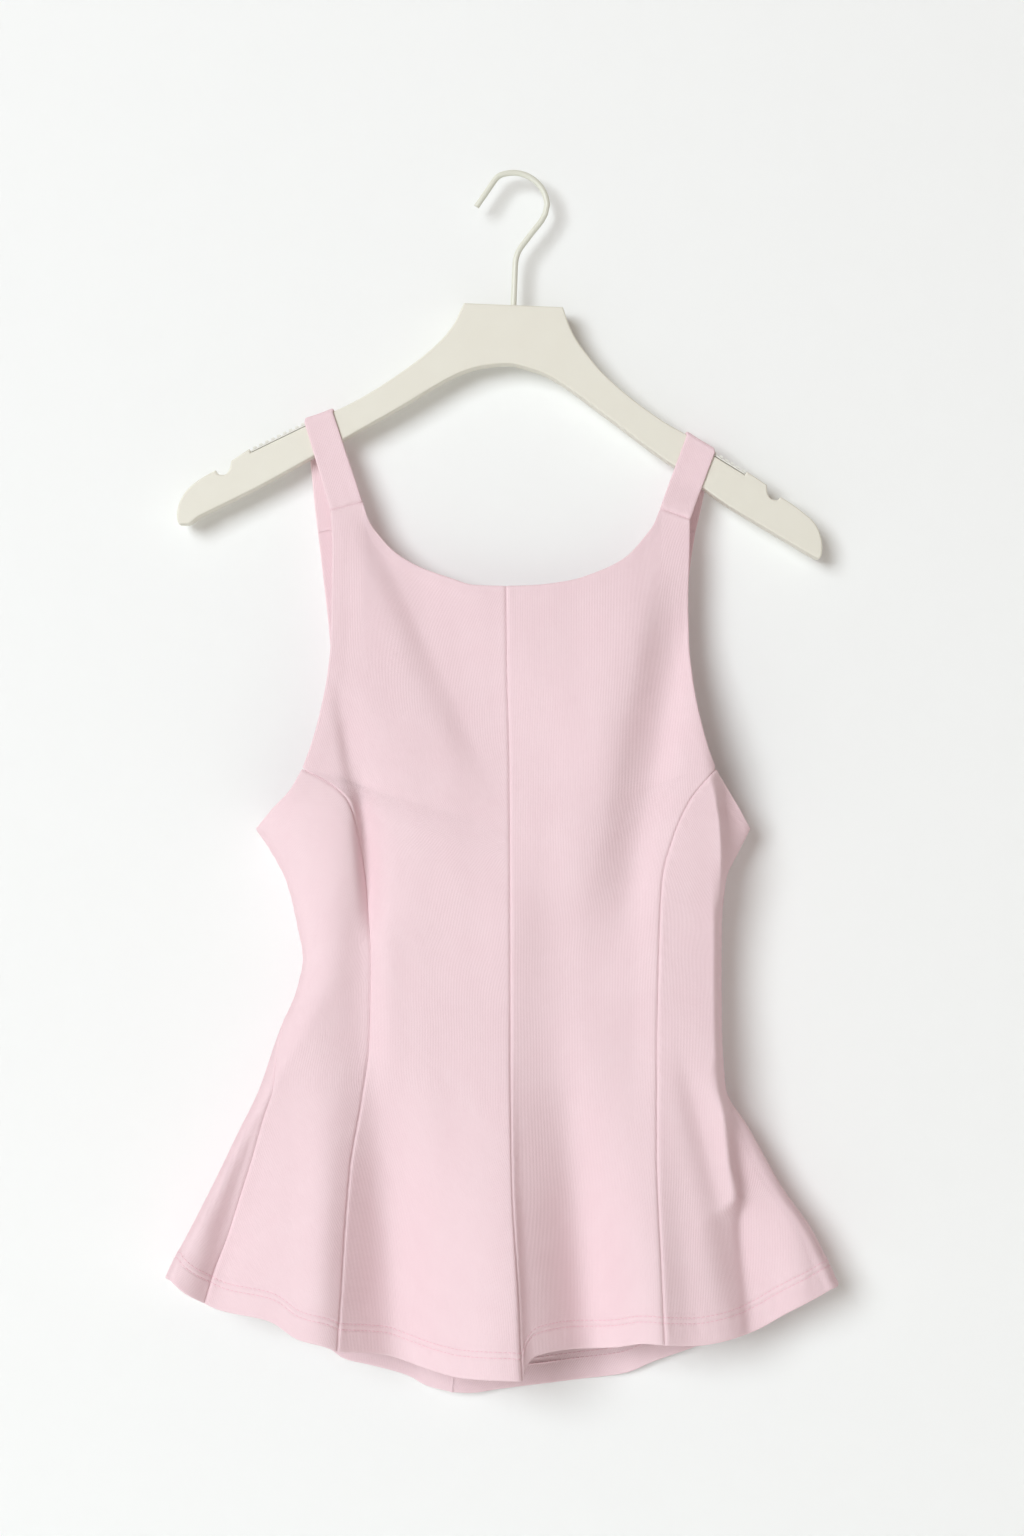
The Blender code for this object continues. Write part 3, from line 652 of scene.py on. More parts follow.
@dataclass
class Panel:
    """One sewn piece of the body: a fine shell on the body's surface."""

    name: str
    top: Edge
    bottom: Edge
    left: Edge
    right: Edge
    across: float               # usual width and height in millimetres
    down: float
    cut: tuple[float, float]    # size of the flat piece it is cut from, in metres
    area: float                 # its flat area in square metres
    hangs_from: tuple[str, ...]
    corner: float = 0.0         # fraction of the top that falls on a corner
    corner_at: float = 0.0      # fraction of the columns that meets it
    step: float = 2.5

    def grid(self, form: BodyForm) -> tuple[Array, Array]:
        """Lay the panel's grid on the body.

        Args:
            form: the body's surface.

        Returns:
            (r, drop) for each grid point, and its (u, v).
        """
        us = spaced(self.across, self.step, EDGE_STEPS, EDGE_STEPS)
        vs = spaced(self.down, self.step, EDGE_STEPS, HEM_STEPS)
        samples, top_fades, bottom_fades, trim = 700, 6, 4, 0.02
        dense = np.linspace(0, 1, samples)
        u = dense[:, None]
        top, bottom = self.top.read(dense), self.bottom.read(dense)
        left, right = self.left.read(vs), self.right.read(vs)
        rows = []
        for i, v in enumerate(vs):
            row = ((1 - u) * left[i] + u * right[i]
                   + (1 - v) ** top_fades * (top - (1 - u) * top[0] - u * top[-1])
                   + v ** bottom_fades * (bottom - (1 - u) * bottom[0] - u * bottom[-1]))
            run = run_of(form.at(row[:, 0], row[:, 1]))
            want = us
            if self.corner:
                split = np.interp(us, [0, self.corner_at, 1], [0, self.corner, 1])
                want = us + (split - us) * (1 - v) ** 3
            rows.append(at_lengths(row, run, trim + want * (run[-1] - 2 * trim)))
        return np.array(rows), np.stack(np.meshgrid(us, vs), -1)

    def shell(self, form: BodyForm, sewing: Knitting) -> Faces:
        """Outer and inner points of the panel, and its lengths.

        Args:
            form: the body's surface.
            sewing: how the edges are shaped.

        Returns:
            Outer points, inner points, and for each grid point its distance
            across and down the cloth.
        """
        place, uv = self.grid(form)
        r, drop = place[..., 0], place[..., 1]
        outer, normal = form.at(r, drop), form.outward(r, drop)
        across, down = grid_lengths(outer)
        height = self.softness(outer)
        thin = np.ones_like(height)
        for edge, d, s, where in (
                (self.left, across, down, uv[..., 1]),
                (self.right, across[:, -1:] - across, down, uv[..., 1]),
                (self.top, down, across, uv[..., 0]),
                (self.bottom, down[-1:] - down, across, uv[..., 0])):
            for kind in EdgeKind:
                share = edge.share(kind, where)
                height = height + share * sewing.relief(kind, d, s)
                if kind is not EdgeKind.SEAM:
                    thin = thin * (1 - share * (1 - sewing.rounded(d)))
        lift = np.minimum(height, 0) * 0.8 - np.maximum(height, 0)
        return (*wall_faces(outer, normal, height, thin, lift), np.stack([across, down], -1))

    @staticmethod
    def softness(points: Array) -> Array:
        """Slow, slight waves that keep soft cloth from lying dead flat.

        Args:
            points: the cloth's surface.

        Returns:
            Height at each point.
        """
        x, z = points[..., 0], points[..., 2]
        return (0.35 * np.sin(x / 17 + 0.6 * np.sin(z / 41)) * np.sin(z / 53 + 1.0)
                + 0.28 * np.sin(x / 9.5 + z / 37 + 2.1) * np.sin(z / 29 - x / 61)
                + 0.16 * np.sin(x / 5.7 - z / 23 + 0.4) * np.sin(z / 17 + x / 13))


def shell_mesh(name: str, outer: Array, inner: Array, lengths: Array) -> Object:
    """Close an outer and an inner grid into one cloth wall.

    Args:
        name: the piece's name.
        outer: outer points in millimetres, row by row.
        inner: inner points, in the same grid.
        lengths: distance across and down the cloth, for the weave.

    Returns:
        The new object, with its UV map in metres of cloth.
    """
    rows, columns = outer.shape[:2]
    index = np.arange(rows * columns).reshape(rows, columns)
    quads = np.stack([index[:-1, :-1], index[1:, :-1], index[1:, 1:], index[:-1, 1:]], -1)
    quads = quads.reshape(-1, 4)
    back = quads[:, ::-1] + rows * columns
    rim = np.concatenate([index[0, :-1], index[:-1, -1], index[-1, :0:-1], index[:0:-1, 0]])
    after = np.roll(rim, -1)
    sides = np.stack([rim, after, after + rows * columns, rim + rows * columns], -1)
    points = np.concatenate([outer.reshape(-1, 3), inner.reshape(-1, 3)]) * MM
    faces = np.concatenate([quads, back, sides])
    mesh = bpy.data.meshes.new(name)
    mesh.vertices.add(len(points))
    mesh.vertices.foreach_set("co", points.ravel())
    mesh.loops.add(faces.size)
    mesh.loops.foreach_set("vertex_index", faces.ravel())
    mesh.polygons.add(len(faces))
    mesh.polygons.foreach_set("loop_start", np.arange(0, faces.size, 4))
    mesh.update(calc_edges=True)
    cloth = np.tile(lengths.reshape(-1, 2) * MM, (2, 1))
    layer = mesh.uv_layers.new(name="Cloth")
    layer.data.foreach_set("uv", cloth[faces.ravel()].ravel())
    mesh.validate()
    mesh.shade_smooth()
    return linked(name, mesh)


@dataclass
class Bodice:
    """The six panels round the body, cut in one from neck to hem."""

    form: BodyForm
    strap_left: Points = ((-118.7, 217.3), (-97.8, 211.9))
    strap_right: Points = ((95.6, 216.0), (115.2, 223.2))
    neck_left: Points = (
        (-97.8, 211.9), (-93.2, 224.9), (-86.2, 234.6), (-78, 243.4), (-69, 249.8), (-57.2, 255.6),
        (-41, 261.2), (-25.4, 265.8), (-4.6, 266.5))
    neck_right: Points = (
        (-4.6, 266.5), (13.6, 265.9), (37, 262.9), (52.6, 258.1), (72.8, 248), (86.7, 233),
        (91.4, 226.6), (95.6, 216.0))
    centre_front: Points = (
        (-4.6, 266.5), (-4, 328), (-2.6, 380), (-2, 470), (-1.3, 601), (0, 666), (3.9, 731),
        (6.5, 784.2))
    armhole_left: Points = (
        (-118.7, 217.3), (-117.6, 240), (-118, 270), (-118.6, 302), (-120.9, 325), (-125.5, 348),
        (-130.7, 367.3), (-137.2, 385.5))
    armhole_right: Points = (
        (115.2, 223.2), (115, 240), (114, 276), (114.2, 302), (117, 328), (121.6, 351),
        (126.8, 370.5), (132, 385.5))
    princess_left: Points = (
        (-137.2, 385.5), (-119, 395), (-106, 408), (-98.2, 438.8), (-94.3, 471), (-93, 510),
        (-93.6, 562), (-98.2, 601), (-106, 647), (-111.8, 731), (-114.4, 764.8))
    princess_right: Points = (
        (132, 385.5), (115, 406), (103.4, 432), (96.9, 458), (94.9, 504), (93.6, 569), (93.6, 634),
        (96.2, 699), (98.8, 760.6))
    rim_left: Points = ((-167, 424), (-156.7, 411.5), (-145.6, 399.8), (-137.2, 385.5))
    rim_right: Points = ((132, 385.5), (137, 394), (146, 409), (154, 424))
    side_left: Points = (
        (424, 0), (536, 0), (549, 3), (563, 5), (581, 7.4), (609, 10.8), (637, 16.4), (665, 21.5),
        (693, 26.8), (714, 29.8), (733.2, 33))
    side_right: Points = ((424, 0), (454, 3), (718.9, 3))
    hem_side_left: Points = (
        (-201.5, 733.2), (-193.1, 737.1), (-159.3, 744.9), (-139.8, 757), (-121.6, 761.8),
        (-114.4, 764.8))
    hem_front_left: Points = (
        (-114.4, 764.8), (-83.9, 766.4), (-68.3, 771.3), (-51.4, 777.4), (-31.9, 782),
        (-14.3, 783.3), (6.5, 784.2))
    hem_front_right: Points = (
        (6.5, 784.2), (9, 775), (13, 769), (18.2, 766.6), (41, 762.6), (66.3, 761.8), (84.5, 759.5),
        (98.8, 760.6))
    hem_side_right: Points = (
        (98.8, 760.6), (117.7, 760.9), (132, 758.9), (155.4, 750.8), (173.6, 740.4), (196.3, 728),
        (210, 718.9))
    back_arm_left: Points = (
        (-126.8, 232), (-123.2, 262), (-119.5, 296), (-117.5, 325), (-119, 358), (-129, 394),
        (-146, 416), (-167, 424))
    back_arm_right: Points = (
        (118.5, 232), (115, 256), (112, 292), (112, 325), (115, 358), (124, 393), (137, 414),
        (154, 424))
    back_strap_left: Points = ((-107.2, 228), (-126.8, 232))
    back_strap_right: Points = ((118.5, 232), (99.5, 228))
    back_neck_left: Points = (
        (-3, 288), (-36, 286), (-64, 278), (-85, 264), (-99, 246), (-107.2, 228))
    back_neck_right: Points = ((99.5, 228), (92, 246), (80, 264), (60, 278), (32, 286), (-3, 288))
    centre_back: Points = ((-3, 288), (-4, 400), (-8, 520), (-20, 640), (-39.7, 790.5))
    hem_back_left: Points = (
        (-39.7, 790.5), (-56.6, 786), (-67, 780), (-93, 772.6), (-108.6, 769), (-121, 760.5),
        (-139, 752), (-159, 741), (-180, 733), (-205, 726), (-225.8, 716.5))
    hem_left_turn: Points = ((-225.8, 716.5), (-214, 727), (-201.5, 733.2))
    hem_back_right: Points = (
        (210, 718.9), (196, 725.5), (174, 737), (155, 747), (132, 755.5), (110.5, 763.4),
        (91, 770.3), (72.2, 778), (41, 782), (15.6, 785.2), (-10.4, 788.5), (-28, 791),
        (-39.7, 790.5))

    def seam(self, table: Points, right: bool = False) -> Array:
        """A side seam.

        Args:
            table: rows of (drop, distance past the side line).
            right: on the right side.

        Returns:
            Rows of (r, drop).
        """
        drops, past = np.array(table, float).T
        dense = np.linspace(drops[0], drops[-1], 400)
        r = Spline(drops, past)(dense)
        if right:
            r = r + self.form.read("right", dense) - self.form.read("left", dense)
        return np.stack([r, dense], 1)

    def panels(self) -> list[Panel]:
        """Lay out the six panels from their seams.

        Returns:
            The panels, front to back.
        """
        seam, turned, hem = EdgeKind.SEAM, EdgeKind.TURNED, EdgeKind.HEM

        def line(name: str, back: str = "") -> Array:
            """A named table's curve as (r, drop)."""
            return self.form.round_at(path(getattr(self, name)), back)

        def whole(curve: Array, kind: EdgeKind = seam) -> Edge:
            """An edge that is one curve with one finish."""
            return joined((curve, 0.0, kind))

        yoke, back_yoke = 8 / 28, 9 / 29    # share of an edge that the armhole takes
        side_left, side_right = self.seam(self.side_left), self.seam(self.side_right, right=True)
        centre_front = whole(line("centre_front"))
        princess = {side: line(f"princess_{side}") for side in ("left", "right")}
        hem_left = np.concatenate([line("hem_back_left", "left"), line("hem_left_turn")[1:]])
        return [
            Panel("front_left_panel",
                  joined((line("strap_left"), 0.0, seam), (line("neck_left"), 0.158, turned)),
                  whole(line("hem_front_left"), hem),
                  joined((line("armhole_left"), 0.0, turned), (princess["left"], yoke, seam)),
                  centre_front,
                  125, 560, (0.150, 0.572), 0.0640, ("strap_left_band",), 0.158, 0.158),
            Panel("front_right_panel",
                  joined((line("neck_right"), 0.0, turned), (line("strap_right"), 0.852, seam)),
                  whole(line("hem_front_right"), hem),
                  centre_front,
                  joined((line("armhole_right"), 0.0, turned), (princess["right"], yoke, seam)),
                  118, 555, (0.150, 0.560), 0.0600, ("strap_right_band",), 0.852, 0.852),
            Panel("side_left_panel",
                  whole(line("rim_left"), turned), whole(line("hem_side_left"), hem),
                  whole(side_left), whole(princess["left"]),
                  75, 360, (0.115, 0.385), 0.0260, ("front_left_panel",)),
            Panel("side_right_panel",
                  whole(line("rim_right"), turned), whole(line("hem_side_right"), hem),
                  whole(princess["right"]), whole(side_right),
                  85, 360, (0.150, 0.385), 0.0320, ("front_right_panel",), step=1.3),
            Panel("back_left_panel",
                  joined((line("back_neck_left", "left"), 0.0, turned),
                         (line("back_strap_left", "left"), 0.86, seam)),
                  whole(hem_left, hem),
                  whole(line("centre_back", "left")),
                  joined((line("back_arm_left", "left"), 0.0, turned),
                         (side_left, back_yoke, seam)),
                  165, 545, (0.240, 0.572), 0.0860, ("strap_left_band",), 0.86, 0.86, 3.0),
            Panel("back_right_panel",
                  joined((line("back_strap_right", "right"), 0.0, seam),
                         (line("back_neck_right", "right"), 0.14, turned)),
                  whole(line("hem_back_right", "right"), hem),
                  joined((line("back_arm_right", "right"), 0.0, turned),
                         (side_right, back_yoke, seam)),
                  whole(line("centre_back", "right")),
                  165, 545, (0.265, 0.572), 0.0900, ("strap_right_band",), 0.14, 0.14, 3.0),
        ]


@dataclass
class StrapBand:
    """A wide strap from the front's corner over the hanger to the back's."""

    name: str
    form: BodyForm
    sewing: Knitting
    top_ends: tuple[float, float]   # x of its edges where it crosses the arm
    front: Points
    behind: Points
    back: str
    arm_top: Callable[[Array], Array]
    cut: tuple[float, float] = (0.019, 0.150)
    wide: float = 18.0
    turned_wide: float = 3.5
    leg_long: float = 60.0
    bend: float = 1.3           # inner radius where it turns over the arm's edges
    sunk: float = 0.1           # how far it settles on the arm
    leaves: float = 0.05        # share of the leg that still lies on the body
    lets_go: float = 0.45       # share over which it comes off the body

    @property
    def columns(self) -> Array:
        """Positions across the band, from 0 to 1."""
        return spaced(self.wide, 1.3, EDGE_STEPS[:6], EDGE_STEPS[:6])

    def leg(self, x: Array, crown: Array, ends: Points, side: str, sign: int) -> list[Array]:
        """Rows of one leg, which leaves the body and rises to the arm's edge.

        Args:
            x: across, as seen, where the band crosses the arm.
            crown: points on top of the arm.
            ends: the seam that the leg starts from.
            side: half of the back that it is on, or empty on the front.
            sign: -1 in front, 1 behind.

        Returns:
            One row of points for each step up the leg.
        """
        clear, turn = BAR_THICK / 2 + GAP + WALL, self.bend + WALL
        low = np.array(ends[0]) + (np.array(ends[1]) - ends[0]) * self.columns[:, None]
        top = np.stack([x, self.arm_top(x) - self.sunk + turn], 1)
        way = self.form.round_at(low, side)
        foot = self.form.at(way[:, 0], way[:, 1])
        corner = np.stack([crown[:, 0], np.full_like(x, sign * clear), crown[:, 2] - turn], 1)
        rows = []
        for t in spaced(self.leg_long, 1.2, EDGE_STEPS[:6], (0.0, 0.6)):
            spot = self.form.round_at(low + (top - low) * t, side)
            on_body = self.form.at(spot[:, 0], spot[:, 1])
            straight = foot + (corner - foot) * t
            hug = ease((t - self.leaves) / self.lets_go)
            rows.append(np.stack([straight[:, 0] + (on_body[:, 0] - straight[:, 0]) * (1 - hug),
                                  on_body[:, 1] + (sign * clear - on_body[:, 1]) * hug,
                                  straight[:, 2]], 1))
        return rows

    def shell(self) -> Faces:
        """Outer and inner points of the band, and its lengths.

        Returns:
            Outer points, inner points, and the distance across and along.
        """
        clear, turn = BAR_THICK / 2 + GAP + WALL, self.bend + WALL
        x = self.top_ends[0] + (self.top_ends[1] - self.top_ends[0]) * self.columns
        crown = seen(x, self.arm_top(x) - self.sunk, np.full_like(x, -BAR_THICK / 2))
        crown[:, 2] += GAP + WALL
        over = []
        for sign, angles in ((-1, np.linspace(-90, 0, 8)[1:]), (1, np.linspace(0, 90, 8)[:-1])):
            for angle in np.radians(angles):
                deep = sign * (clear - turn) + turn * np.sin(angle)
                over.append(np.stack([crown[:, 0], np.full_like(x, deep),
                                      crown[:, 2] - turn + turn * np.cos(angle)], 1))
        outer = np.array(self.leg(x, crown, self.front, "", -1) + over
                         + self.leg(x, crown, self.behind, self.back, 1)[::-1])
        normal = np.cross(np.gradient(outer, axis=0), np.gradient(outer, axis=1))
        normal /= np.linalg.norm(normal, axis=-1, keepdims=True)
        if normal[0, 0, 1] > 0:
            normal = -normal
        across, down = grid_lengths(outer)
        height, thin = np.zeros_like(across), np.ones_like(across)
        for d in (across, across[:, -1:] - across):
            height = height + 0.5 * self.sewing.turned * (1 - ease((d - self.turned_wide) / 2))
            thin = thin * self.sewing.rounded(d)
        for d in (down, down[-1:] - down):
            height = height + self.sewing.relief(EdgeKind.SEAM, d, across)
        return (*wall_faces(outer, normal, height, thin, -np.maximum(height, 0)),
                np.stack([across, down], -1))


@dataclass(frozen=True)
class KnitFinish:
    """Ponte: a firm double knit of viscose and nylon, piece dyed.

    It gives the eye a matt, even face with a little bloom at glancing angles;
    its ribs are only 1.1 mm apart, so they show close up and not from a step.
    """

    name: str = "ponte_double_knit"
    light: str = "#f2d9dd"
    deep: str = "#eed1d6"
    bloom: str = "#fbd9e0"
    rib_mm: float = 1.1
    course_mm: float = 0.8
    rib_depth_mm: float = 0.09
    loop_bend: float = 1.2      # how far the rows of loops bend at each rib, in radians
    course_share: float = 0.45  # height of the loops and of the fuzz, in the ribs' height
    fuzz_share: float = 0.9
    mottle_mm: float = 26.0
    roughness: float = 0.86
    sheen: float = 0.6

    def build(self) -> Material:
        """Make the material.

        Returns:
            The knit, patterned on the cloth's own UV map in metres.
        """
        material, tree = new_material(self.name)
        cloth = add_node(tree, "ShaderNodeUVMap", uv_map="Cloth")
        mm = add_node(tree, "ShaderNodeMapping", {"Vector": cloth, "Scale": (1000, 1000, 1000)})
        parts = add_node(tree, "ShaderNodeSeparateXYZ", {"Vector": mm})
        across, down = (
            add_node(tree, "ShaderNodeMath", {0: parts.outputs[axis], 1: 2 * math.pi / pitch},
                     operation="MULTIPLY")
            for axis, pitch in (("X", self.rib_mm), ("Y", self.course_mm)))
        rib = add_node(tree, "ShaderNodeMath", {0: across}, operation="SINE")
        bend = add_node(tree, "ShaderNodeMath", {0: rib, 1: self.loop_bend, 2: down},
                        operation="MULTIPLY_ADD")
        course = add_node(tree, "ShaderNodeMath", {0: bend}, operation="SINE")
        height = add_node(tree, "ShaderNodeMath", {0: course, 1: self.course_share, 2: rib},
                          operation="MULTIPLY_ADD")
        fuzz = add_node(tree, "ShaderNodeTexNoise", {"Vector": mm, "Scale": 1.6, "Detail": 3.0})
        whole = add_node(tree, "ShaderNodeMath", {0: fuzz, 1: self.fuzz_share, 2: height},
                         operation="MULTIPLY_ADD")
        bump = add_node(tree, "ShaderNodeBump",
                        {"Height": whole, "Strength": 0.5, "Distance": self.rib_depth_mm * MM})
        mottle = add_node(tree, "ShaderNodeTexNoise",
                          {"Vector": mm, "Scale": 1 / self.mottle_mm, "Detail": 4.0,
                           "Roughness": 0.6})
        colour = add_node(tree, "ShaderNodeMix",
                          {"Factor": mottle, "A": linear(self.light), "B": linear(self.deep)},
                          data_type="RGBA")
        shader = add_node(tree, "ShaderNodeBsdfPrincipled",
                          {"Base Color": colour.outputs["Result"], "Roughness": self.roughness,
                           "Specular IOR Level": 0.25, "Sheen Weight": self.sheen,
                           "Sheen Roughness": 0.45, "Sheen Tint": linear(self.bloom),
                           "Normal": bump})
        add_node(tree, "ShaderNodeOutputMaterial", {"Surface": shader})
        return material


@dataclass(frozen=True)
class CoatedFinish:
    """A dyed, coated or moulded piece: its colour, gloss and fine skin."""

    name: str
    colour: str
    worn: str                   # colour of its slow, faint clouds
    roughness: float
    grain_mm: float             # size of the skin's grain, and its depth
    grain_depth_mm: float

    def build(self) -> Material:
        """Make the material.

        Returns:
            The finish, with a fine skin and slow colour change on the piece's
            own coordinates.
        """
        material, tree = new_material(self.name)
        place = add_node(tree, "ShaderNodeTexCoord").outputs["Object"]
        skin = add_node(tree, "ShaderNodeTexNoise",
                        {"Vector": place, "Scale": 1000 / self.grain_mm, "Detail": 3.0})
        cloud = add_node(tree, "ShaderNodeTexNoise",
                         {"Vector": place, "Scale": 1000 / (self.grain_mm * 40), "Detail": 4.0})
        colour = add_node(tree, "ShaderNodeMix",
                          {"Factor": cloud, "A": linear(self.colour), "B": linear(self.worn)},
                          data_type="RGBA")
        gloss = add_node(tree, "ShaderNodeMapRange",
                         {"Value": skin, "To Min": self.roughness - 0.05,
                          "To Max": self.roughness + 0.05})
        bump = add_node(tree, "ShaderNodeBump",
                        {"Height": skin, "Strength": 0.6, "Distance": self.grain_depth_mm * MM})
        shader = add_node(tree, "ShaderNodeBsdfPrincipled",
                          {"Base Color": colour.outputs["Result"], "Roughness": gloss,
                           "Normal": bump})
        add_node(tree, "ShaderNodeOutputMaterial", {"Surface": shader})
        return material


def dress(piece: Object, material: Material, slot: str, *nodes: str) -> Object:
    """Give a finished piece its material and body, and hide the nodes it replaces.

    Args:
        piece: the object, at the origin with its place in its mesh.
        material: its finish.
        slot: not used.
        nodes: the solids that it stands for.

    Returns:
        The piece.
    """
    piece.data.materials.clear()
    piece.data.materials.append(material)
    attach(piece, BODY)
    if nodes:
        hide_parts(*nodes)
    LOG.info("%s: %d faces", piece.name, len(piece.data.polygons))
    return piece


@dataclass
class Stitching:
    """Twin-needle stitches round the hem, and the thread inside it."""

    pitch: float = 3.0
    length: float = 2.7
    thread: float = 0.30        # radius of the thread

    @staticmethod
    def row(outer: Array, lengths: Array, above: float) -> Array:
        """Points of one panel at a distance above its hem.

        Args:
            outer: the panel's outer or inner points.
            lengths: distances across and down its cloth.
            above: distance from the hem's edge.

        Returns:
            A polyline from the panel's left to its right.
        """
        down = lengths[..., 1]
        want = down[-1] - above
        return np.concatenate([at_lengths(outer[:, j], down[:, j], want[j:j + 1])
                               for j in range(outer.shape[1])])

    @staticmethod
    def tree(material: Material) -> NodeTree:
        """Geometry Nodes tree that lays stitches along a polyline.

        Args:
            material: the thread.

        Returns:
            The tree, with Pitch, Length and Radius inputs in metres.
        """
        tree, given = new_shape_tree("lay_stitches", Pitch="Float", Length="Float", Radius="Float")
        curve = add_node(tree, "GeometryNodeMeshToCurve", {"Mesh": given})
        spots = add_node(tree, "GeometryNodeCurveToPoints",
                         {"Curve": curve, "Length": given.outputs["Pitch"]}, mode="LENGTH")
        turn = add_node(tree, "FunctionNodeAlignRotationToVector",
                        {"Vector": spots.outputs["Tangent"]}, axis="X")
        half = add_node(tree, "ShaderNodeMath", {0: given.outputs["Length"], 1: 0.5},
                        operation="MULTIPLY")
        size = add_node(tree, "ShaderNodeCombineXYZ",
                        {"X": half, "Y": given.outputs["Radius"], "Z": given.outputs["Radius"]})
        grain = add_node(tree, "GeometryNodeMeshUVSphere",
                         {"Segments": 6, "Rings": 5, "Radius": 1.0})
        smooth = add_node(tree, "GeometryNodeSetShadeSmooth", {"Geometry": grain})
        upright = add_node(tree, "GeometryNodeTransform",
                           {"Geometry": smooth, "Rotation": (0, math.pi / 2, 0)})
        laid = add_node(tree, "GeometryNodeInstanceOnPoints",
                        {"Points": spots, "Instance": upright, "Rotation": turn, "Scale": size})
        real = add_node(tree, "GeometryNodeRealizeInstances", {"Geometry": laid})
        dyed = add_node(tree, "GeometryNodeSetMaterial", {"Geometry": real, "Material": material})
        add_node(tree, "NodeGroupOutput", {"Geometry": dyed})
        return tree

    def sew(self, name: str, rows: list[Array], material: Material) -> Object:
        """Lay stitches along some polylines as one plain mesh.

        Args:
            name: the piece's name.
            rows: polylines in millimetres.
            material: the thread.

        Returns:
            The stitches, at the origin.
        """
        mesh = bpy.data.meshes.new(name)
        points = np.concatenate(rows) * MM
        starts = np.cumsum([0] + [len(row) for row in rows[:-1]])
        edges = [(s + k, s + k + 1) for s, row in zip(starts, rows) for k in range(len(row) - 1)]
        mesh.from_pydata(points.tolist(), edges, [])
        return baked(linked(name, mesh), self.tree(material),
                     {"Pitch": self.pitch * MM, "Length": self.length * MM,
                      "Radius": self.thread * MM})


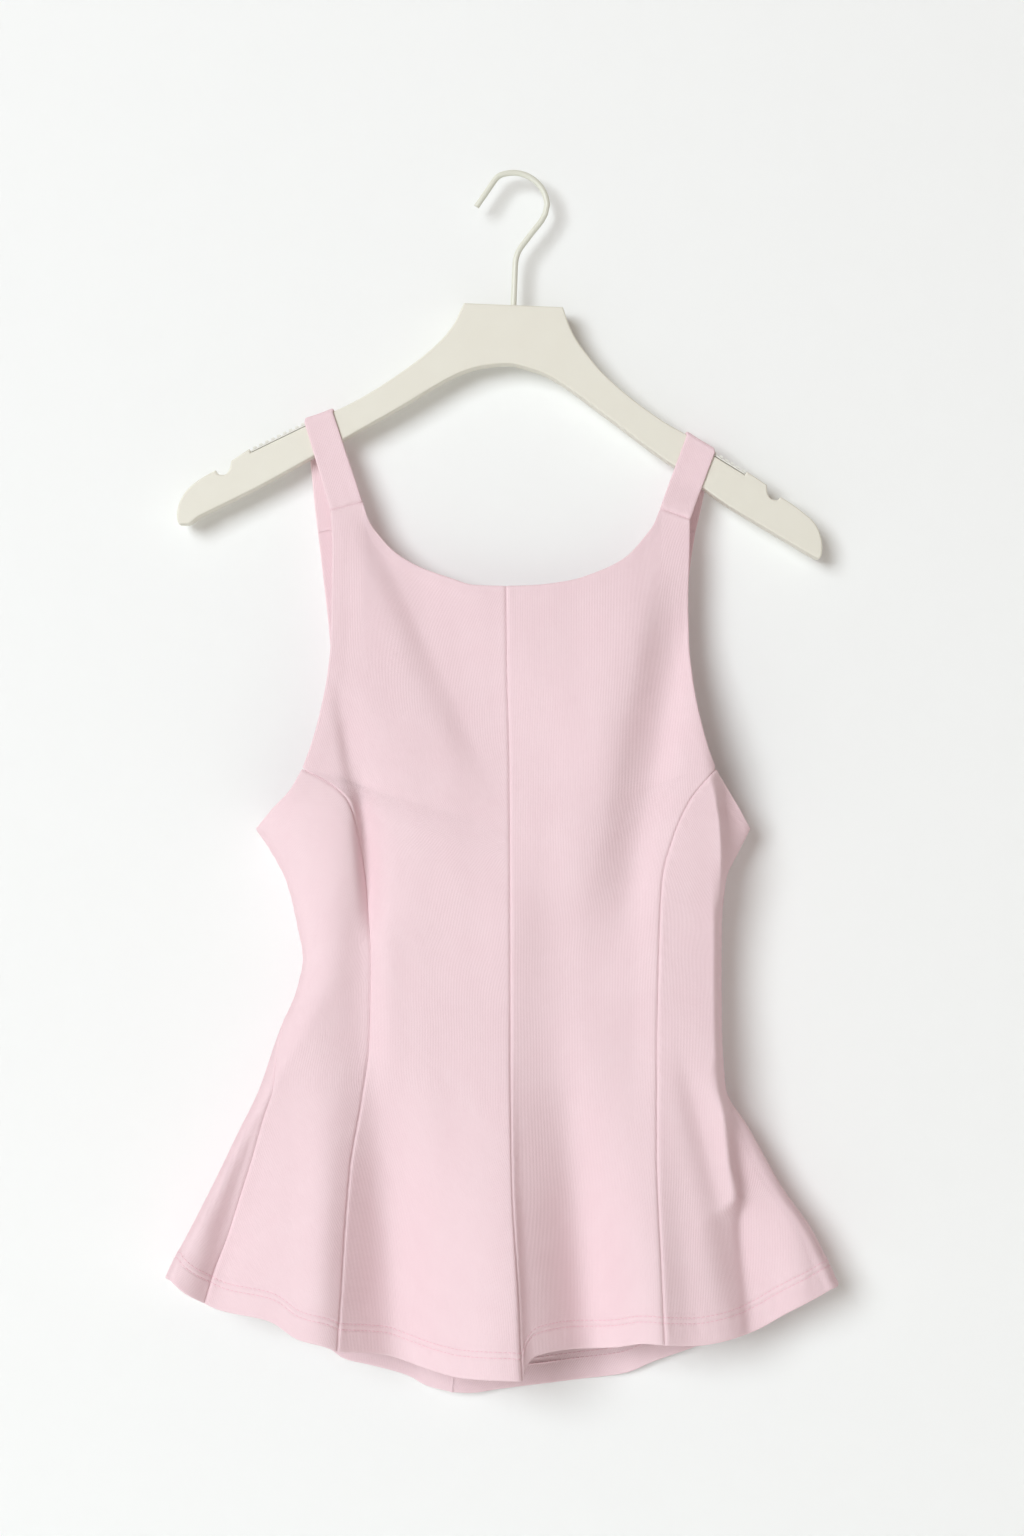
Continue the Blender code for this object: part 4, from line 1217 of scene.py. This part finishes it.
@dataclass
class Hanger:
    """A flat moulded hanger with notched arms, ribbed grips and a wire hook."""

    edge: float = 1.2           # rounding of the bar's edges
    wire: float = 1.9           # radius of the hook wire
    bend: float = 22.3          # radius of the hook's bend
    stem_x: float = 0.4
    stem_drop: float = 102.0
    recess: float = 2.6         # depth of the grips' recesses
    rib_pitch: float = 4.3
    rib_wide: float = 2.2
    rib_high: float = 1.3
    grip_left: Points = ((-171.6, 177.5), (-133.9, 159.2))
    grip_right: Points = ((115.7, 169.7), (152.1, 192.1))
    top_left: Points = (
        (-133.9, 159.2), (-112.5, 151.2), (-73.5, 128.1), (-47.5, 107.3), (-42.3, 101.4),
        (-37.7, 94.9), (-34.5, 87.8), (-31.9, 82.6))
    top_right: Points = (
        (32.5, 85.2), (33.6, 88.5), (37.1, 98.2), (42.3, 107.9), (50.1, 118.3), (56.6, 126.1),
        (97.5, 159.3), (115.7, 169.7))
    arm_right: Points = ((152.1, 192.1), (165.1, 200.9))
    notch_right: Points = (
        (165.1, 200.9), (165.6, 206), (168.2, 210), (171.6, 210.8), (174.2, 208.7))
    tip_right: Points = (
        (174.2, 208.7), (181.4, 213.2), (188.5, 218.6), (195.7, 224.9), (199.3, 231.4),
        (201.2, 239.9), (200.9, 246), (199, 249), (196.3, 248))
    under: Points = (
        (196.3, 248), (161.2, 227.2), (137.2, 212.6), (106, 189.2), (95.6, 182.2), (60, 155.6),
        (28, 132.6), (18.9, 127.8), (10.4, 125), (-3.3, 122), (-20.8, 123.8), (-34.5, 128.1),
        (-43.6, 132.6), (-73.5, 150.4), (-99.5, 165.1), (-129.4, 182), (-163.2, 200.9),
        (-204.8, 221.7))
    tip_left: Points = (
        (-204.8, 221.7), (-212, 226.4), (-217.1, 226.4), (-218.7, 221), (-217.8, 214.5),
        (-214.5, 207.4), (-208.7, 200.9), (-200.2, 195), (-193.4, 191.4))
    notch_left: Points = (
        (-193.4, 191.4), (-191.8, 194), (-188, 194.3), (-184.6, 191), (-183.3, 185.3))
    arm_left: Points = ((-183.3, 185.3), (-171.6, 177.5))

    def arm_top(self, x: Array) -> Array:
        """The bar's top edge, with the grips in their recesses.

        Args:
            x: across, as seen.

        Returns:
            Its drop there.
        """
        run = np.concatenate([np.array(self.grip_left), path(self.top_left, 60)[1:],
                              path(self.top_right, 60), np.array(self.grip_right)[1:]])
        return np.interp(x, run[:, 0], run[:, 1])

    def floor(self, line: Points) -> list[tuple[float, float]]:
        """The floor of a grip's recess.

        Args:
            line: the two ends of its mouth.

        Returns:
            Its two lower corners.
        """
        a, b = Vector(line[0]), Vector(line[1])
        way = (b - a).normalized()
        down = Vector((-way.y, way.x)) * self.recess
        return [tuple(a + down), tuple(b + down)]

    def outline(self) -> list[tuple[float, float]]:
        """The bar's outline, clockwise as seen from the front.

        Returns:
            Real (x, drop) of each point.
        """
        points = [tuple(p) for table in (self.top_left, self.top_right) for p in path(table, 60)]
        points += self.floor(self.grip_right)
        for table, count in ((self.arm_right, 2), (self.notch_right, 16), (self.tip_right, 36),
                             (self.under, 150), (self.tip_left, 36), (self.notch_left, 16),
                             (self.arm_left, 2)):
            run = [tuple(p) for p in path(table, count)]
            points += run if table is self.arm_right else run[1:]
        points += self.floor(self.grip_left)
        return [(x * BAR_NEAR, EYE_DROP + (drop - EYE_DROP) * BAR_NEAR) for x, drop in points]

    @staticmethod
    def from_curve(curve: Curve, points: list[tuple[float, float, float]], sharp: float) -> Object:
        """Draw a curve and make it a welded mesh, with its place in the mesh.

        Args:
            curve: the curve data; a flat one is closed, and stood upright.
            points: where it runs, in millimetres.
            sharp: angle in degrees past which an edge is left crisp.

        Returns:
            The mesh object, at the origin.
        """
        flat = curve.dimensions == "2D"
        line = curve.splines.new("POLY")
        line.points.add(len(points) - 1)
        for point, place in zip(line.points, points):
            point.co = (*(v * MM for v in place), 1)
        line.use_cyclic_u = flat
        source = linked(curve.name, curve)
        mesh = plain_mesh(source)
        bpy.data.objects.remove(source)
        if flat:
            mesh.transform(Matrix.Rotation(math.pi / 2, 4, "X"))
        work = bmesh.new()
        work.from_mesh(mesh)
        bmesh.ops.remove_doubles(work, verts=work.verts, dist=1e-6)
        bmesh.ops.recalc_face_normals(work, faces=work.faces)
        work.to_mesh(mesh)
        work.free()
        mesh.shade_smooth()
        mesh.set_sharp_from_angle(angle=math.radians(sharp))
        mesh.name = curve.name
        return linked(curve.name, mesh)

    def bar(self) -> Object:
        """Make the bar, with rounded edges.

        Returns:
            The bar, at the origin.
        """
        curve = bpy.data.curves.new("hanger_body", "CURVE")
        curve.dimensions, curve.fill_mode = "2D", "BOTH"
        curve.extrude = (BAR_THICK / 2 - self.edge) * MM
        curve.bevel_depth, curve.bevel_resolution, curve.offset = self.edge * MM, 4, -self.edge * MM
        return self.from_curve(curve, [(x, -drop, 0) for x, drop in self.outline()], sharp=8)

    def hook(self) -> Object:
        """Make the bent wire: a stem, a slant, a round bend and a straight end.

        Returns:
            The hook, at the origin.
        """
        middle = -(self.bend - self.wire)
        bends = ((self.stem_x, -self.stem_drop), (self.stem_x, -86), (0.9, -72), (1.5, -58),
                 (1.8, -55.2), (2.5, -52), (4, -48.4), (8.9, -41.6), (14.3, -34.6), (18.3, -29.6),
                 (20.9, -25))
        points = [tuple(p) for p in path(bends, 80)]
        for angle in np.radians(np.linspace(0, 110, 31)[1:]):
            points.append((self.bend * math.cos(angle), middle + self.bend * math.sin(angle)))
        tail = (points[-1], (-9.6, -0.5), (-11.3, -2.2), (-12.9, -4.4), (-18.3, -12.25),
                (-23.7, -20.1))
        points += [tuple(p) for p in path(tail, 30)[1:]]
        curve = bpy.data.curves.new("hook_wire", "CURVE")
        curve.dimensions = "3D"
        curve.bevel_depth, curve.bevel_resolution, curve.use_fill_caps = self.wire * MM, 6, True
        return self.from_curve(curve, [(x, 0, z) for x, z in points], sharp=32)

    @staticmethod
    def rib_tree(material: Material) -> NodeTree:
        """Geometry Nodes tree that stands ribs on a strip.

        Args:
            material: the rubber.

        Returns:
            The tree, with Ribs, Pitch, Wide, High and Deep inputs.
        """
        tree, given = new_shape_tree("stand_ribs", Ribs="Int", Pitch="Float", Wide="Float",
                                     High="Float", Deep="Float")
        step = add_node(tree, "ShaderNodeCombineXYZ", {"X": given.outputs["Pitch"]})
        line = add_node(tree, "GeometryNodeMeshLine",
                        {"Count": given.outputs["Ribs"], "Offset": step})
        size = add_node(tree, "ShaderNodeCombineXYZ",
                        {"X": given.outputs["Wide"], "Y": given.outputs["Deep"],
                         "Z": given.outputs["High"]})
        rib = add_node(tree, "GeometryNodeMeshCube", {"Size": size})
        stood = add_node(tree, "GeometryNodeInstanceOnPoints", {"Points": line, "Instance": rib})
        real = add_node(tree, "GeometryNodeRealizeInstances", {"Geometry": stood})
        both = add_node(tree, "GeometryNodeJoinGeometry", {"Geometry": real})
        tree.links.new(given.outputs["Geometry"], both.inputs["Geometry"])
        made = add_node(tree, "GeometryNodeSetMaterial", {"Geometry": both, "Material": material})
        add_node(tree, "NodeGroupOutput", {"Geometry": made})
        return tree

    def grip(self, name: str, line: Points, material: Material) -> Object:
        """A ribbed rubber strip in its recess.

        Args:
            name: the piece's name.
            line: the two ends of the recess's mouth.
            material: the rubber.

        Returns:
            The strip, at the origin.
        """
        a, b = (Vector((x * BAR_NEAR, 0, -(EYE_DROP + (drop - EYE_DROP) * BAR_NEAR)))
                for x, drop in line)
        high, root, narrower = self.rib_high, 0.2, 1.2
        long = (b - a).length - 2 * GAP - 0.4
        web = self.recess - GAP - high
        ribs = int((long - self.rib_wide) / self.rib_pitch) + 1
        half = ((ribs - 1) * self.rib_pitch) / 2 * MM
        deep = BAR_THICK - narrower
        mesh = bpy.data.meshes.new(name)
        work = bmesh.new()
        bmesh.ops.create_cube(
            work, size=1, matrix=Matrix.Translation((half, 0, -(high - root + web) / 2 * MM))
            @ Matrix.Diagonal((long * MM, deep * MM, web * MM, 1)))
        work.to_mesh(mesh)
        work.free()
        strip = baked(linked(name, mesh), self.rib_tree(material),
                      {"Ribs": ribs, "Pitch": self.rib_pitch * MM, "Wide": self.rib_wide * MM,
                       "High": (high + root) * MM, "Deep": deep * MM})
        slope = math.atan2((b - a).z, (b - a).x)
        strip.data.transform(Matrix.Translation((a + b) / 2 * MM) @ Matrix.Rotation(-slope, 4, "Y")
                             @ Matrix.Translation((-half, 0, -(high + root) / 2 * MM)))
        return strip


@dataclass(frozen=True)
class Studio:
    """A pale wall just behind the hanger, a floor below, soft light and the camera."""

    wall_y: float = 0.0158      # sizes, places and powers are in metres and watts
    wall: str = "#f6f7f5"
    wall_top: float = 1.6
    floor_z: float = -1.30
    key_place: tuple[float, float, float] = (-4.0, -6.9, 1.6)
    key_size: float = 4.4
    key_tint: str = "#f3faff"
    key_power: float = 512.0
    rear_place: tuple[float, float, float] = (0.9, 2.4, 0.5)
    rear_size: float = 1.6
    rear_power: float = 14.0
    world: str = "#ffeade"
    world_power: float = 0.29
    pixel: float = 0.65         # millimetres a pixel at the hanger's plane
    rows: int = 1536            # pixels from the frame's top to its bottom

    def stage(self) -> None:
        """Wall and floor; the wall shows its front face only, so that the
        part is also seen from behind."""
        material, tree = new_material("matt_white_wall_paint")
        face = add_node(tree, "ShaderNodeNewGeometry")
        paint = add_node(tree, "ShaderNodeBsdfDiffuse", {"Color": linear(self.wall)})
        clear = add_node(tree, "ShaderNodeBsdfTransparent")
        mix = add_node(tree, "ShaderNodeMixShader",
                       {0: face.outputs["Backfacing"], 1: paint, 2: clear})
        add_node(tree, "ShaderNodeOutputMaterial", {"Surface": mix})
        wide, deep, wall, floor = 3, 4, self.wall_y, self.floor_z
        for name, corners in (
                ("backdrop_wall", ((-wide, wall, floor), (wide, wall, floor),
                                   (wide, wall, self.wall_top), (-wide, wall, self.wall_top))),
                ("floor", ((-deep, -deep, floor), (deep, -deep, floor), (deep, deep, floor),
                           (-deep, deep, floor)))):
            mesh = bpy.data.meshes.new(name)
            mesh.from_pydata(corners, [], [(0, 1, 2, 3)])
            mesh.materials.append(material)
            plane = linked(name, mesh)
            plane.visible_shadow = False

    def lights(self) -> None:
        """A soft key from the upper left, a weak rear light and a pale world."""
        target = Vector((0, 0, -0.45))      # the middle of the garment
        for name, place, size, power in (
                ("key_light", self.key_place, self.key_size, self.key_power),
                ("rear_light", self.rear_place, self.rear_size, self.rear_power)):
            light = bpy.data.lights.new(name, "AREA")
            light.energy, light.shape, light.size = power, "DISK", size
            light.color = linear(self.key_tint)[:3]
            lamp = linked(name, light)
            lamp.location = place
            lamp.rotation_euler = (target - Vector(place)).to_track_quat("-Z", "Y").to_euler()
        world = bpy.data.worlds.new("pale_room")
        world.use_nodes = True
        sky = world.node_tree.nodes["Background"]
        sky.inputs["Color"].default_value = linear(self.world)
        sky.inputs["Strength"].default_value = self.world_power
        bpy.context.scene.world = world
        bpy.context.scene.view_settings.view_transform = "Standard"

    def camera(self) -> None:
        """A camera that sees the outlines' plane at their own scale."""
        data = bpy.data.cameras.new("camera")
        data.sensor_fit, data.sensor_height = "VERTICAL", 36.0
        data.lens = data.sensor_height * EYE / (self.rows * self.pixel)
        camera = linked("camera", data)
        camera.location = (-self.pixel * MM, -EYE * MM, -EYE_DROP * MM)
        camera.rotation_euler = (math.pi / 2, 0, 0)
        bpy.context.scene.camera = camera


def main() -> None:
    """Build and dress every piece, then the studio."""
    logging.basicConfig(level=logging.INFO, format="%(message)s")
    studio = Studio()
    studio.camera()
    form, sewing, hanger = BodyForm(), Knitting(), Hanger()
    knit = KnitFinish().build()
    # Spun polyester, dyed a shade deeper than the cloth: a dull, slightly uneven line.
    thread = CoatedFinish("polyester_thread", "#f3ccd5", "#ecc0ca", 0.6, 0.4, 0.02).build()
    # Polystyrene from a fine-blasted mould: an even cream with a soft, broad shine.
    plastic = CoatedFinish("moulded_cream_plastic", "#e7e4d7", "#e3dfd1", 0.5, 0.5, 0.015).build()
    # Steel wire dipped in stoved enamel: the same cream, smoother, with a tighter highlight.
    wire = CoatedFinish("enamelled_steel_wire", "#e3e3d6", "#dcdccd", 0.35, 0.8, 0.01).build()
    # Moulded silicone: whiter than the arms and nearly matt, with a dry skin.
    rubber = CoatedFinish("white_silicone_rubber", "#efeee6", "#e6e5db", 0.55, 0.3, 0.02).build()

    dress(hanger.bar(), plastic, "hanger", "hanger_bar")
    dress(hanger.hook(), wire, "wire", "hanger_hook")
    for side, line in (("left", hanger.grip_left), ("right", hanger.grip_right)):
        dress(hanger.grip(f"grip_strip_{side}", line, rubber), rubber, "grip", f"grip_{side}")

    bodice, stitching = Bodice(form), Stitching()
    rows, sheets = [], []
    for panel in bodice.panels():
        outer, inner, lengths = panel.shell(form, sewing)
        piece = dress(shell_mesh(panel.name, outer, inner, lengths), knit, "knit",
                      panel.name.removesuffix("_panel"))
        for above in sewing.rows:
            rows.append(stitching.row(outer, lengths, above))
            if panel.name.startswith("back"):
                rows.append(stitching.row(inner, lengths, above))
        sheets.append((piece, panel))
    for side, ends, front, behind in (
            ("left", (-135.4, -117.0), bodice.strap_left, bodice.back_strap_left[::-1]),
            ("right", (112.8, 131.2), bodice.strap_right, bodice.back_strap_right[::-1])):
        band = StrapBand(f"strap_{side}_band", form, sewing, ends, front, behind, side,
                         hanger.arm_top)
        piece = dress(shell_mesh(band.name, *band.shell()), knit, "knit", f"strap_{side}")
    stitches = dress(stitching.sew("hem_stitches", rows, thread), thread, "knit")

    studio.stage()
    studio.lights()


if __name__ == "__main__":
    main()
